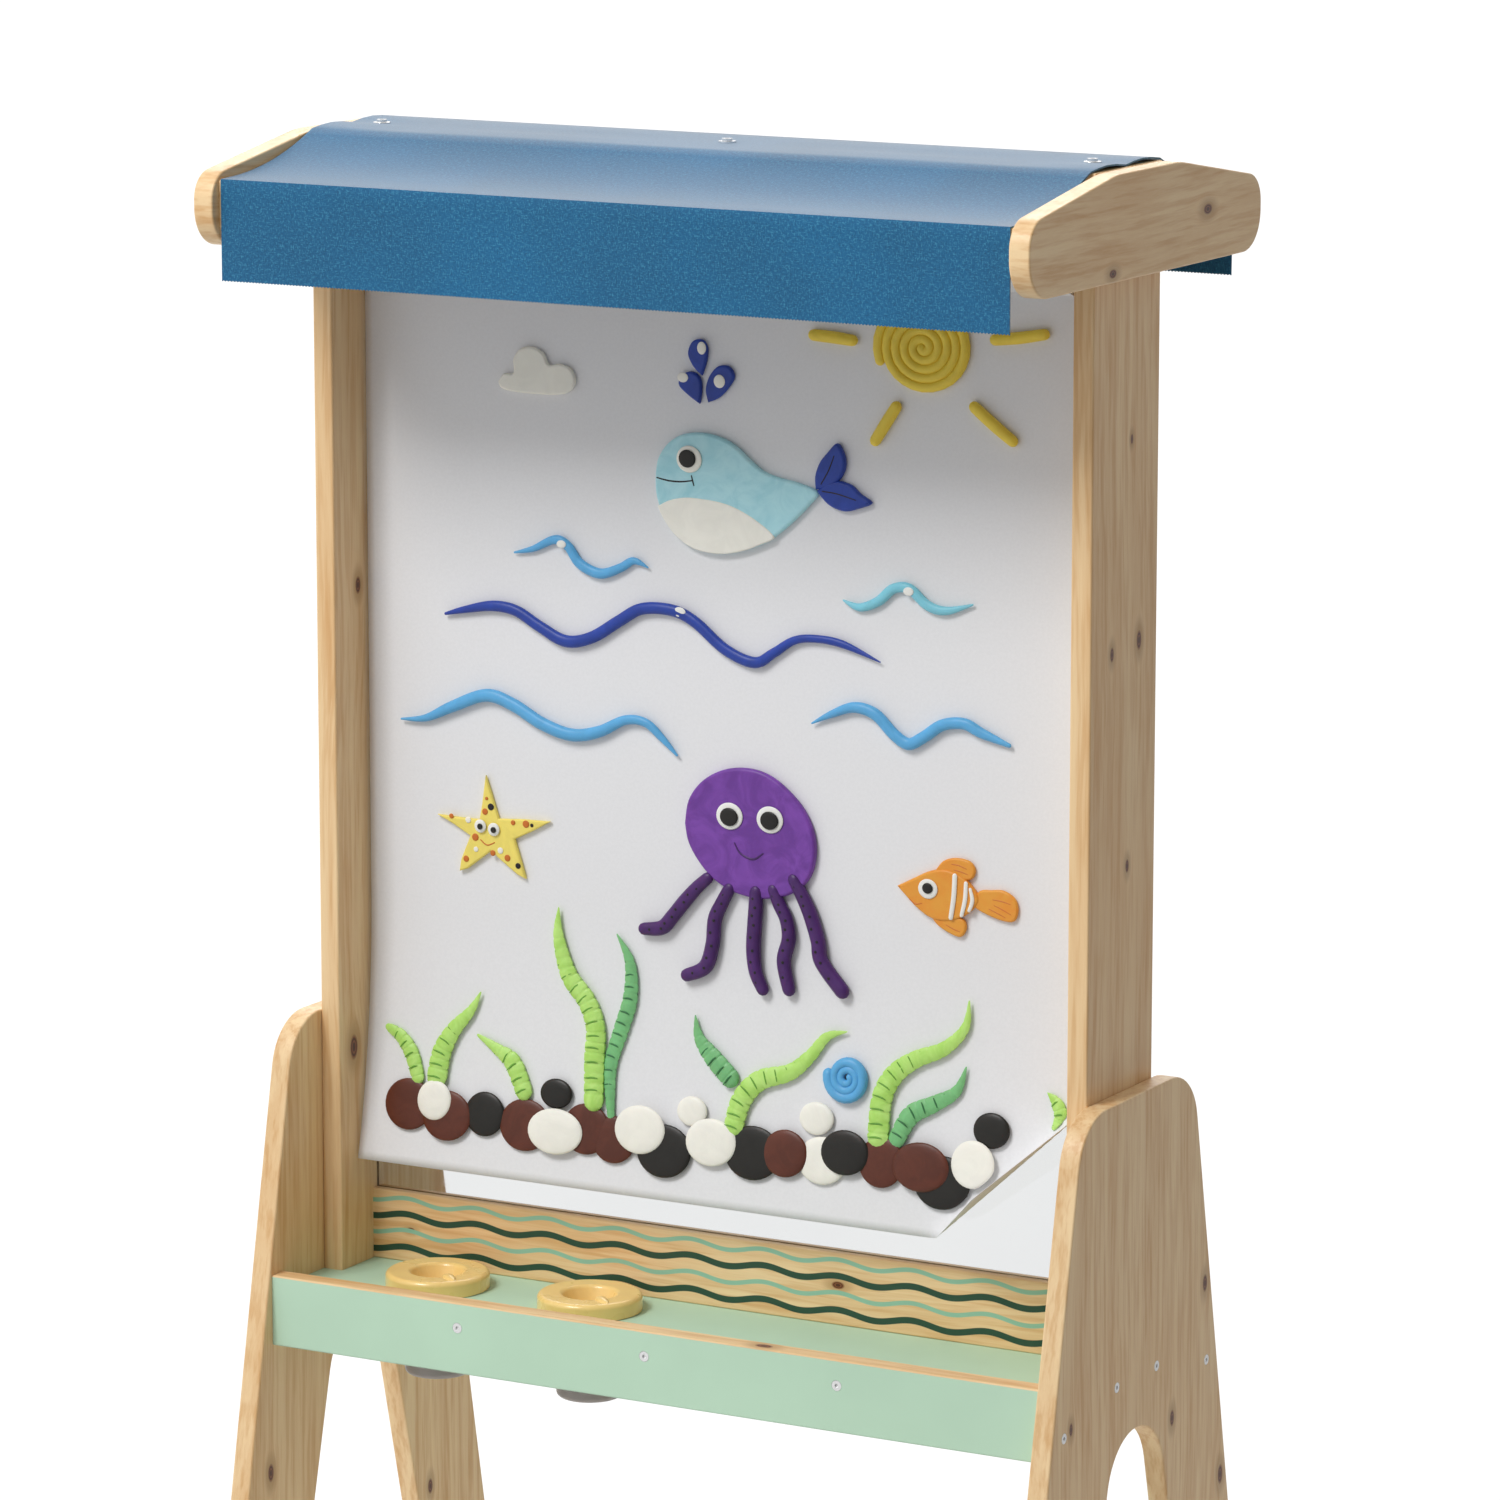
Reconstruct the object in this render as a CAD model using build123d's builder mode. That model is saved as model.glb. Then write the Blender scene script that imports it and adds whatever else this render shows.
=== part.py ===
"""A child's two-sided wooden easel with a fabric roof, a paper roll and a paint tray.

Frame: +Z up, +X to the painter's right, -Y towards the painter. The origin is on the
floor, under the middle of the easel. All sizes are in millimetres.
"""

import os
from math import asin, atan, cos, radians, sin, sqrt

from build123d import *

os.makedirs("parts", exist_ok=True)

# ---------------------------------------------------------------- driving sizes
board = 16.0  # thickness of every pine board
half_width = 333.0  # middle of the easel to the outside of a leg panel
tray_top = 430.0  # top edge of the aprons above the floor
edge_round = 1.5  # sanded edges of the boards
fit_gap = 0.3  # air between a moving piece and what it rests on

leg_top = 617.5
leg_half_at_tray = 127.0  # half depth of a leg panel level with the tray's top edge
leg_slope = 0.2  # how far each outer edge runs out per millimetre down
leg_corner = 43.0
arch_half_at_tray = 21.7
arch_slope = 0.25
arch_radius = 46.0

upright_depth = 105.0
tray_lip = 11.0  # apron's top edge above the tray floor
apron_height = 53.5
apron_front = 124.0  # middle of the easel to an apron's outer face
wave_rail_height = 54.0
groove_depth = 8.0
acrylic_thickness = 4.0
groove_width = 4.4
side_groove_depth = 5.0
upper_rail_bottom = 1150.0
upper_rail_top = 1200.0

roof_top = 1272.0  # top face of the roof board and of the gables
roof_board_depth = 106.0
gable_bottom = 1198.0
gable_half_depth = 183.5
gable_flat_half = 50.0
gable_end_top = 1250.3
gable_low_corner = 28.0
gable_high_corner = 21.0
gable_ridge_round = 100.0
roof_rail_top = 1246.5
roof_rail_height = 34.5
roof_rail_front = 174.5

canopy_half_width = 314.5
canopy_thickness = 1.2
canopy_eave = 176.0  # middle of the easel to the outside of the hanging edge
canopy_eave_top = 1248.0
canopy_crease = 54.5
canopy_sag = 7.0
front_hem = 1174.5
rear_hem = 1178.5

roll_y = -39.0
roll_z = 1215.0
roll_radius = 29.7
core_radius = 15.0
core_bore = 12.6
dowel_radius = 12.5
tenon_radius = 7.0
tenon_length = 9.0
slot_angle = 20.0  # the slots in the uprights rise towards the painter
paper_half_width = 299.0
paper_thickness = 0.5
paper_y = -9.0
paper_curl_start = 700.0
paper_curl_radius = 890.0
paper_bottom = 501.0
paper_reach = 60.0  # how far a drawn outline is pushed through before it is trimmed to the sheet
flap_low_x = 205.0  # the sheet's lower right corner is folded forward along a slanting line
flap_high_z = 615.0

clay_thickness = 3.5
pebble_thickness = 4.5

cup_places = ((-214.5, -57.0), (-84.0, -57.0))
cup_names = ("left_cup", "right_cup")
lid_names = ("left_cup_lid", "right_cup_lid")
cup_hole_radius = 33.0
cup_top_radius = 31.0
cup_bottom_radius = 24.5
cup_bottom = 354.0
cup_wall = 1.5
cup_rim_radius = 35.5
cup_rim = 2.0
cup_neck_top = 427.5
lid_radius = 38.7
lid_height = 12.3
lid_round = 3.6
throat_top_radius = 20.5
throat_bottom_radius = 9.0
throat_bottom = 404.0

screw_head_radius = 3.8
screw_head = 2.6
screw_radius = 2.0
screw_hole_radius = 2.1
head_hole_radius = 4.0
hex_radius = 1.7
hex_depth = 1.5
peg_radius = 4.0
peg_hole_radius = 4.1
peg_depth = 12.0

# ---------------------------------------------------------------- sizes that follow
leg_inner = half_width - board
upright_inner = leg_inner - board
tray_floor_top = tray_top - tray_lip
tray_floor_bottom = tray_floor_top - board
tray_floor_middle = tray_floor_top - board / 2
apron_back = apron_front - board
apron_bottom = tray_top - apron_height
upright_top = roof_top - board
wave_rail_top = tray_floor_top + wave_rail_height
leg_foot_half = leg_half_at_tray + leg_slope * tray_top
leg_top_half = leg_half_at_tray + leg_slope * (tray_top - leg_top)
arch_angle = atan(arch_slope)
arch_foot_half = arch_half_at_tray + arch_slope * tray_top
arch_centre = tray_top - (arch_radius / cos(arch_angle) - arch_half_at_tray) / arch_slope

sides = (("left", -1), ("right", 1))
leg_screw_points = [
    (-apron_front + board / 2, tray_top - 35.0),
    (-32.4, tray_floor_middle),
    (32.4, tray_floor_middle),
    (apron_front - board / 2, tray_top - 35.0),
]
apron_screw_points = [(x, tray_floor_middle) for x in (-157.0, 0.0, 157.0)]
leg_peg_points = [(y, z) for y in (-30.0, 30.0) for z in (450.0, 520.0, 585.0)]
gable_screw_points = [(-36.0, 1240.0), (0.0, 1222.0), (36.0, 1240.0)]
roof_screw_points = [(x, y) for x in (-309.0, 309.0) for y in (-30.0, 30.0)]
upper_rail_peg_points = [(0.0, 1168.0), (0.0, 1189.0)]
roof_rail_middle = roof_rail_top - roof_rail_height / 2
roof_rail_peg_points = [
    (-roof_rail_front + board / 2, roof_rail_middle),
    (roof_rail_front - board / 2, roof_rail_middle),
]
canopy_screw_points = [(x, 0.0) for x in (-289.0, 0.0, 289.0)]
wave_rail_screw_points = [(x, 0.0) for x in (-240.0, 0.0, 240.0)]


def inner_plane(side, x):
    """A plane facing the middle of the easel, on the given side, with Y and Z as its own X and Y."""
    return Plane(origin=(side * x, 0, 0), x_dir=(0, 1, 0), z_dir=(side, 0, 0))


def on_plane(plane, points):
    """The (Y, Z) points in the plane's own coordinates, whichever way the plane faces."""
    return [(y, z * plane.y_dir.Z) for y, z in points]


def bore(plane, points, radius, depth):
    """Round holes of one size, sunk into the part along the plane's normal."""
    with BuildSketch(plane) as mouths:
        with Locations(*points):
            Circle(radius)
    extrude(mouths.sketch, amount=depth, mode=Mode.SUBTRACT)


def pegs(plane, points, radius, length):
    """Round pins of one size, standing on the plane along its normal."""
    with BuildSketch(plane) as ends:
        with Locations(*points):
            Circle(radius)
    extrude(ends.sketch, amount=length)


def screws(plane, points, length, head=screw_head):
    """Socket screws whose heads lie flush with the plane and whose shanks follow its normal."""
    pegs(plane, points, screw_head_radius, head)
    pegs(plane.offset(head - 0.2), points, screw_radius, length - head + 0.2)
    with BuildSketch(plane) as sockets:
        with Locations(*points):
            RegularPolygon(hex_radius, 6)
    extrude(sockets.sketch, amount=hex_depth, mode=Mode.SUBTRACT)


def screw_holes(plane, points, depth, head=screw_head):
    """Holes that take the screws above, with a recess for each head."""
    bore(plane, points, head_hole_radius, head)
    bore(plane, points, screw_hole_radius, depth)


def finish(part, name):
    part.label = name
    export_step(part, f"parts/{name}.step")


# ---------------------------------------------------------------- leg panels
for side_name, side in sides:
    inner = inner_plane(side, leg_inner)
    flip = inner.y_dir.Z
    with BuildPart() as leg_panel:
        with BuildSketch(inner):
            with BuildLine():
                Polyline(
                    (-leg_foot_half, 0),
                    (-leg_top_half, flip * leg_top),
                    (leg_top_half, flip * leg_top),
                    (leg_foot_half, 0),
                    close=True,
                )
            make_face()
            fillet([v for v in vertices() if flip * v.Y > leg_top - 1], leg_corner)
            with BuildLine():
                spring_y = arch_radius * cos(arch_angle)
                spring_z = flip * (arch_centre + arch_radius * sin(arch_angle))
                crown = flip * (arch_centre + arch_radius)
                Line((-arch_foot_half, 0), (-spring_y, spring_z))
                ThreePointArc((-spring_y, spring_z), (0, crown), (spring_y, spring_z))
                Line((spring_y, spring_z), (arch_foot_half, 0))
                Line((arch_foot_half, 0), (-arch_foot_half, 0))
            make_face(mode=Mode.SUBTRACT)
        extrude(amount=board)
        outer_face = faces().sort_by(Axis.X)[-1 if side > 0 else 0]
        inner_face = faces().sort_by(Axis.X)[0 if side > 0 else -1]
        fillet(outer_face.edges() + inner_face.edges(), edge_round)
        outer = Plane(origin=(side * half_width, 0, 0), x_dir=(0, 1, 0), z_dir=(-side, 0, 0))
        screw_holes(outer, on_plane(outer, leg_screw_points), board)
        bore(inner, on_plane(inner, leg_peg_points), peg_hole_radius, peg_depth)
    finish(leg_panel.part, f"{side_name}_leg_panel")

# ---------------------------------------------------------------- uprights
slot_depth = tenon_length + 0.6
slot_run = 60.0
slot_half = tenon_radius + fit_gap
slot_dy = -cos(radians(slot_angle))
slot_dz = sin(radians(slot_angle))
for side_name, side in sides:
    inner = inner_plane(side, upright_inner)
    flip = inner.y_dir.Z
    middle_z = (tray_floor_top + upright_top) / 2
    with BuildPart() as upright:
        with BuildSketch(inner):
            with Locations((0, flip * middle_z)):
                Rectangle(upright_depth, upright_top - tray_floor_top)
        extrude(amount=board)
        fillet(edges().filter_by(Axis.Z), edge_round)
        with BuildSketch(inner):
            with Locations((0, flip * (wave_rail_top + upper_rail_bottom) / 2)):
                Rectangle(groove_width, upper_rail_bottom - wave_rail_top + 2 * groove_depth)
        extrude(amount=side_groove_depth, mode=Mode.SUBTRACT)
        with BuildSketch(inner):
            with Locations((roll_y, flip * roll_z)):
                Circle(slot_half)
            with Locations((roll_y + slot_dy * slot_run / 2, flip * (roll_z + slot_dz * slot_run / 2))):
                Rectangle(slot_run, 2 * slot_half, rotation=-flip * slot_angle)
        extrude(amount=slot_depth, mode=Mode.SUBTRACT)
        outer = Plane(origin=(side * leg_inner, 0, 0), x_dir=(0, 1, 0), z_dir=(-side, 0, 0))
        bore(outer, on_plane(outer, leg_peg_points), peg_hole_radius, peg_depth)
        screw_holes(inner, on_plane(inner, gable_screw_points), board)
        bore(inner, on_plane(inner, upper_rail_peg_points), peg_hole_radius, peg_depth)
        roof = Plane(origin=(0, 0, upright_top), x_dir=(1, 0, 0), z_dir=(0, 0, -1))
        roof_points = [(x, -y) for x, y in roof_screw_points if x * side > 0]
        bore(roof, roof_points, screw_hole_radius, 30)
    finish(upright.part, f"{side_name}_upright")

# ---------------------------------------------------------------- gables
for side_name, side in sides:
    inner = inner_plane(side, leg_inner)
    flip = inner.y_dir.Z
    with BuildPart() as gable:
        with BuildSketch(inner):
            with BuildLine():
                Polyline(
                    (-gable_half_depth, flip * gable_bottom),
                    (gable_half_depth, flip * gable_bottom),
                    (gable_half_depth, flip * gable_end_top),
                    (gable_flat_half, flip * roof_top),
                    (-gable_flat_half, flip * roof_top),
                    (-gable_half_depth, flip * gable_end_top),
                    close=True,
                )
            make_face()
            fillet([v for v in vertices() if flip * v.Y < gable_bottom + 1], gable_low_corner)
            fillet([v for v in vertices() if abs(flip * v.Y - gable_end_top) < 0.1], gable_high_corner)
            fillet([v for v in vertices() if flip * v.Y > roof_top - 0.1], gable_ridge_round)
        extrude(amount=board)
        outer_face = faces().sort_by(Axis.X)[-1 if side > 0 else 0]
        inner_face = faces().sort_by(Axis.X)[0 if side > 0 else -1]
        fillet(outer_face.edges() + inner_face.edges(), edge_round)
        bore(inner, on_plane(inner, gable_screw_points), screw_hole_radius, 9)
        bore(inner, on_plane(inner, roof_rail_peg_points), peg_hole_radius, peg_depth)
    finish(gable.part, f"{side_name}_gable")

# ---------------------------------------------------------------- roof board and rails
roof_plane = Plane(origin=(0, 0, roof_top), x_dir=(1, 0, 0), z_dir=(0, 0, -1))
with BuildPart() as roof_board:
    with BuildSketch(roof_plane):
        Rectangle(2 * leg_inner, roof_board_depth)
    extrude(amount=board)
    fillet(edges().filter_by(Axis.X), edge_round)
    screw_holes(roof_plane, [(x, -y) for x, y in roof_screw_points], board)
    bore(roof_plane, canopy_screw_points, screw_hole_radius, 15)
finish(roof_board.part, "roof_board")

for rail_name, rail_side in (("front", -1), ("rear", 1)):
    rail_y = rail_side * (roof_rail_front - board / 2)
    with BuildPart() as roof_rail:
        with BuildSketch(Plane.YZ.offset(-leg_inner)):
            with Locations((rail_y, roof_rail_middle)):
                RectangleRounded(board, roof_rail_height, edge_round)
        extrude(amount=2 * leg_inner)
        for end in (-1, 1):
            end_plane = Plane(origin=(end * leg_inner, 0, 0), x_dir=(0, 1, 0), z_dir=(-end, 0, 0))
            end_points = on_plane(end_plane, [(rail_y, roof_rail_middle)])
            bore(end_plane, end_points, peg_hole_radius, peg_depth)
    finish(roof_rail.part, f"{rail_name}_roof_rail")

# ---------------------------------------------------------------- rails that hold the acrylic panel
rail_specs = (
    ("wave_rail", tray_floor_top, wave_rail_top, wave_rail_top - groove_depth, wave_rail_top),
    ("upper_rail", upper_rail_bottom, upper_rail_top, upper_rail_bottom, upper_rail_bottom + groove_depth),
)
for rail_name, bottom, top, groove_bottom, groove_top in rail_specs:
    with BuildPart() as rail:
        with BuildSketch(Plane.YZ.offset(-upright_inner)):
            with Locations((0, (bottom + top) / 2)):
                RectangleRounded(board, top - bottom, edge_round)
            with Locations((0, (groove_bottom + groove_top) / 2)):
                Rectangle(groove_width, groove_depth, mode=Mode.SUBTRACT)
        extrude(amount=2 * upright_inner)
        if rail_name == "wave_rail":
            bore(Plane.XY.offset(bottom), wave_rail_screw_points, screw_hole_radius, 26)
        else:
            for end in (-1, 1):
                end_plane = Plane(origin=(end * upright_inner, 0, 0), x_dir=(0, 1, 0), z_dir=(-end, 0, 0))
                bore(end_plane, on_plane(end_plane, upper_rail_peg_points), peg_hole_radius, peg_depth)
    finish(rail.part, rail_name)

acrylic_bottom = wave_rail_top - groove_depth + 0.5
acrylic_top = upper_rail_bottom + groove_depth - 0.5
with BuildPart() as acrylic_panel:
    with BuildSketch(Plane.XZ.offset(-acrylic_thickness / 2)):
        with Locations((0, (acrylic_bottom + acrylic_top) / 2)):
            Rectangle(2 * (upright_inner + side_groove_depth - 0.5), acrylic_top - acrylic_bottom)
    extrude(amount=acrylic_thickness)
    chamfer(edges(), 0.3)
finish(acrylic_panel.part, "acrylic_panel")

# ---------------------------------------------------------------- tray
with BuildPart() as tray_floor:
    with BuildSketch(Plane.XY.offset(tray_floor_bottom)):
        Rectangle(2 * leg_inner, 2 * apron_back)
        with Locations(*cup_places):
            Circle(cup_hole_radius, mode=Mode.SUBTRACT)
    extrude(amount=board)
    chamfer(edges().filter_by(GeomType.CIRCLE).group_by(Axis.Z)[-1], 0.8)
    for end in (-1, 1):
        end_plane = Plane(origin=(end * leg_inner, 0, 0), x_dir=(0, 1, 0), z_dir=(-end, 0, 0))
        bore(end_plane, on_plane(end_plane, leg_screw_points[1:3]), screw_hole_radius, 25)
        long_side = Plane(origin=(0, end * apron_back, 0), x_dir=(1, 0, 0), z_dir=(0, -end, 0))
        long_points = [(x, z * long_side.y_dir.Z) for x, z in apron_screw_points]
        bore(long_side, long_points, screw_hole_radius, 25)
    bore(Plane.XY.offset(tray_floor_bottom), wave_rail_screw_points, head_hole_radius, screw_head)
    bore(Plane.XY.offset(tray_floor_bottom), wave_rail_screw_points, screw_hole_radius, board)
finish(tray_floor.part, "tray_floor")

for apron_name, apron_side in (("front", -1), ("rear", 1)):
    face_plane = Plane(
        origin=(0, apron_side * apron_front, 0), x_dir=(1, 0, 0), z_dir=(0, -apron_side, 0)
    )
    flip = face_plane.y_dir.Z
    with BuildPart() as apron:
        with BuildSketch(face_plane):
            with Locations((0, flip * (tray_top - apron_height / 2))):
                Rectangle(2 * leg_inner, apron_height)
        extrude(amount=board)
        fillet(edges().filter_by(Axis.X), edge_round)
        screw_holes(face_plane, [(x, flip * z) for x, z in apron_screw_points], board)
        apron_y = apron_side * (apron_front - board / 2)
        for end in (-1, 1):
            end_plane = Plane(origin=(end * leg_inner, 0, 0), x_dir=(0, 1, 0), z_dir=(-end, 0, 0))
            end_points = on_plane(end_plane, [(apron_y, leg_screw_points[0][1])])
            bore(end_plane, end_points, screw_hole_radius, 25)
    finish(apron.part, f"{apron_name}_apron")

# ---------------------------------------------------------------- screws and pegs
with BuildPart() as leg_panel_screws:
    for side_name, side in sides:
        outer = Plane(origin=(side * half_width, 0, 0), x_dir=(0, 1, 0), z_dir=(-side, 0, 0))
        screws(outer, on_plane(outer, leg_screw_points), 40)
finish(leg_panel_screws.part, "leg_panel_screws")

with BuildPart() as apron_screws:
    for end in (-1, 1):
        face_plane = Plane(origin=(0, end * apron_front, 0), x_dir=(1, 0, 0), z_dir=(0, -end, 0))
        screws(face_plane, [(x, z * face_plane.y_dir.Z) for x, z in apron_screw_points], 40)
finish(apron_screws.part, "apron_screws")

with BuildPart() as gable_screws:
    for side_name, side in sides:
        inner = inner_plane(side, upright_inner)
        screws(inner, on_plane(inner, gable_screw_points), 24)
finish(gable_screws.part, "gable_screws")

with BuildPart() as roof_board_screws:
    screws(roof_plane, [(x, -y) for x, y in roof_screw_points], 45)
finish(roof_board_screws.part, "roof_board_screws")

with BuildPart() as wave_rail_screws:
    screws(Plane.XY.offset(tray_floor_bottom), wave_rail_screw_points, 40)
finish(wave_rail_screws.part, "wave_rail_screws")

peg_length = 2 * peg_depth - 0.6
with BuildPart() as upright_pegs:
    for side_name, side in sides:
        start = inner_plane(side, leg_inner - peg_length / 2)
        pegs(start, on_plane(start, leg_peg_points), peg_radius, peg_length)
finish(upright_pegs.part, "upright_pegs")

with BuildPart() as upper_rail_pegs:
    for side_name, side in sides:
        start = inner_plane(side, upright_inner - peg_length / 2)
        pegs(start, on_plane(start, upper_rail_peg_points), peg_radius, peg_length)
finish(upper_rail_pegs.part, "upper_rail_pegs")

with BuildPart() as roof_rail_pegs:
    for side_name, side in sides:
        start = inner_plane(side, leg_inner - peg_length / 2)
        pegs(start, on_plane(start, roof_rail_peg_points), peg_radius, peg_length)
finish(roof_rail_pegs.part, "roof_rail_pegs")

# ---------------------------------------------------------------- canopy
slope_middle_y = (canopy_eave + canopy_crease) / 2
canopy_top = roof_top + fit_gap + canopy_thickness
slope_middle_z = (canopy_eave_top + canopy_top) / 2 - canopy_sag
with BuildPart() as canopy_cover:
    with BuildSketch(Plane.YZ.offset(-canopy_half_width)):
        with BuildLine():
            Line((-canopy_eave, front_hem), (-canopy_eave, canopy_eave_top))
            ThreePointArc(
                (-canopy_eave, canopy_eave_top),
                (-slope_middle_y, slope_middle_z),
                (-canopy_crease, canopy_top),
            )
            Line((-canopy_crease, canopy_top), (canopy_crease, canopy_top))
            ThreePointArc(
                (canopy_crease, canopy_top),
                (slope_middle_y, slope_middle_z),
                (canopy_eave, canopy_eave_top),
            )
            Line((canopy_eave, canopy_eave_top), (canopy_eave, rear_hem))
            offset(amount=canopy_thickness, side=Side.RIGHT, kind=Kind.INTERSECTION)
        make_face()
    extrude(amount=2 * canopy_half_width)
    bore(Plane.XY.offset(roof_top), canopy_screw_points, screw_hole_radius + 0.2, 4)
finish(canopy_cover.part, "canopy_cover")

washer_top = canopy_top + 1.2
with BuildPart() as canopy_washers:
    pegs(Plane.XY.offset(canopy_top), canopy_screw_points, 6.3, 1.2)
    fillet(faces().sort_by(Axis.Z)[-1].edges() + faces().sort_by(Axis.Z)[-2].edges(), 0.6)
    bore(Plane.XY.offset(canopy_top), canopy_screw_points, screw_hole_radius, 2)
finish(canopy_washers.part, "canopy_washers")

with BuildPart() as canopy_screws:
    head_plane = Plane(origin=(0, 0, washer_top + 1.8), x_dir=(1, 0, 0), z_dir=(0, 0, -1))
    screws(head_plane, canopy_screw_points, 19.0, head=1.8)
finish(canopy_screws.part, "canopy_screws")

# ---------------------------------------------------------------- paper roll
with BuildPart() as roll_dowel:
    with BuildSketch(Plane.YZ.offset(-paper_half_width - 1)):
        with Locations((roll_y, roll_z)):
            Circle(dowel_radius)
    extrude(amount=2 * paper_half_width + 2)
    chamfer(edges().filter_by(GeomType.CIRCLE), 0.8)
    with BuildSketch(Plane.YZ.offset(-upright_inner - tenon_length)):
        with Locations((roll_y, roll_z)):
            Circle(tenon_radius)
    extrude(amount=2 * (upright_inner + tenon_length))
finish(roll_dowel.part, "roll_dowel")

tube_specs = (
    ("cardboard_core", core_bore, core_radius - 0.05),
    ("paper_roll", core_radius, roll_radius),
)
for tube_name, inner_radius, outer_radius in tube_specs:
    with BuildPart() as tube:
        with BuildSketch(Plane.YZ.offset(-paper_half_width)):
            with Locations((roll_y, roll_z)):
                Circle(outer_radius)
                Circle(inner_radius, mode=Mode.SUBTRACT)
        extrude(amount=2 * paper_half_width)
    finish(tube.part, tube_name)

curl_centre_y = paper_y - paper_curl_radius
curl_angle = asin((paper_curl_start - paper_bottom) / paper_curl_radius)


def curl_point(height, share):
    """A point in front of the sheet, the given share of the way round its bottom curl."""
    radius = paper_curl_radius - height
    angle = share * curl_angle
    return (curl_centre_y + radius * cos(angle), paper_curl_start - radius * sin(angle))


def sheet_layer(near, far, mode=Mode.ADD):
    """A slab that follows the paper between two distances in front of its front face."""
    with BuildSketch(Plane.YZ.offset(-paper_half_width)) as side_view:
        with BuildLine():
            Line((paper_y - near, roll_z), curl_point(near, 0))
            ThreePointArc(curl_point(near, 0), curl_point(near, 0.5), curl_point(near, 1))
            Line(curl_point(near, 1), curl_point(far, 1))
            ThreePointArc(curl_point(far, 1), curl_point(far, 0.5), curl_point(far, 0))
            Line(curl_point(far, 0), (paper_y - far, roll_z))
            Line((paper_y - far, roll_z), (paper_y - near, roll_z))
        make_face()
    extrude(side_view.sketch, amount=2 * paper_half_width, mode=mode)


flap_run = paper_half_width - flap_low_x
flap_rise = flap_high_z - paper_bottom
flap_base = sqrt(flap_run**2 + flap_rise**2)
flap_along = Vector(flap_run / flap_base, 0, flap_rise / flap_base)
flap_out = Vector(flap_along.Z, 0, -flap_along.X)
flap_plane = Plane(origin=(flap_low_x, 0, paper_bottom), x_dir=flap_along, z_dir=flap_out)
flap_tip = (flap_run * flap_along.X, flap_run * flap_along.Z - curl_point(0, 0.8)[0])
with BuildPart() as paper_sheet:
    with BuildSketch(flap_plane):
        with BuildLine():
            Polyline((0, 0), (flap_base, 0), (flap_base, -paper_y), flap_tip, (0, 30), close=True)
        make_face()
        fillet(vertices().sort_by(Axis.Y)[0], 6)
    extrude(amount=-paper_thickness)
    sheet_layer(-paper_thickness, 110, mode=Mode.INTERSECT)
    sheet_layer(-paper_thickness, 0)
    with BuildSketch(Plane.XZ):
        with BuildLine():
            Polyline(
                (flap_low_x, paper_bottom),
                (paper_half_width, flap_high_z),
                (paper_half_width + 1, flap_high_z),
                (paper_half_width + 1, paper_bottom - 9),
                (flap_low_x, paper_bottom - 9),
                close=True,
            )
        make_face()
    extrude(amount=paper_reach, mode=Mode.SUBTRACT)
finish(paper_sheet.part, "paper_sheet")

# ---------------------------------------------------------------- clay picture
def outline(points):
    """A soft closed outline through the points (X, Z)."""
    with BuildLine() as edge:
        Spline(*points, periodic=True)
    make_face(edge.edges())


def strip(points, half_widths):
    """A rolled strip of clay along the points (X, Z), rounded at both ends."""
    left = []
    right = []
    last = len(points) - 1
    for i, (x, z) in enumerate(points):
        before = points[max(i - 1, 0)]
        after = points[min(i + 1, last)]
        along = Vector(after[0] - before[0], after[1] - before[1]).normalized()
        across = Vector(-along.Y, along.X) * half_widths[i]
        left.append((x + across.X, z + across.Y))
        right.append((x - across.X, z - across.Y))
        if i == 0:
            start = (x - along.X * half_widths[i], z - along.Y * half_widths[i])
    end = (x + along.X * half_widths[last], z + along.Y * half_widths[last])
    with BuildLine() as edge:
        Spline(*left)
        ThreePointArc(left[-1], end, right[-1])
        Spline(*reversed(right))
        ThreePointArc(right[0], start, left[0])
    make_face(edge.edges())


def lay_on_sheet(thickness, lift=0):
    """Turn the drawn outlines into clay of this thickness, lying on the curved sheet."""
    extrude(amount=paper_reach)
    sheet_layer(fit_gap + lift, fit_gap + lift + thickness, mode=Mode.INTERSECT)


with BuildPart() as clay_cloud:
    with BuildSketch(Plane.XZ):
        with Locations((-171, 1096.5)):
            Circle(11.5)
        with Locations((-157, 1106)):
            Circle(13)
        with Locations((-133, 1096.5)):
            Circle(11.5)
        with Locations((-152, 1091.5)):
            Rectangle(38, 13)
    lay_on_sheet(clay_thickness)
finish(clay_cloud.part, "clay_cloud")

with BuildPart() as clay_drops:
    with BuildSketch(Plane.XZ):
        outline([(-14, 1107), (-21, 1114), (-25, 1123), (-20, 1132), (-11, 1130), (-10, 1120)])
        outline([(-16, 1086), (-27, 1092), (-33, 1100), (-28, 1108), (-17, 1106), (-14, 1096)])
        outline([(-9, 1088), (-10, 1101), (-2, 1114), (9, 1114), (12, 1105), (3, 1094)])
    lay_on_sheet(clay_thickness)
finish(clay_drops.part, "clay_drops")

with BuildPart() as clay_sun:
    with BuildSketch(Plane.XZ):
        with Locations((164, 1138.7)):
            Ellipse(41, 37)
        strip([(77, 1142), (92, 1141), (108, 1140)], [4.5, 4.5, 4.5])
        strip([(222, 1148), (240, 1151), (258, 1153)], [4.5, 4.5, 4.5])
        strip([(143, 1095), (135, 1083), (126, 1070)], [4.5, 4.5, 4.5])
        strip([(205, 1099), (220, 1088), (235, 1077)], [4.5, 4.5, 4.5])
    lay_on_sheet(6.5)
finish(clay_sun.part, "clay_sun")

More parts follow.
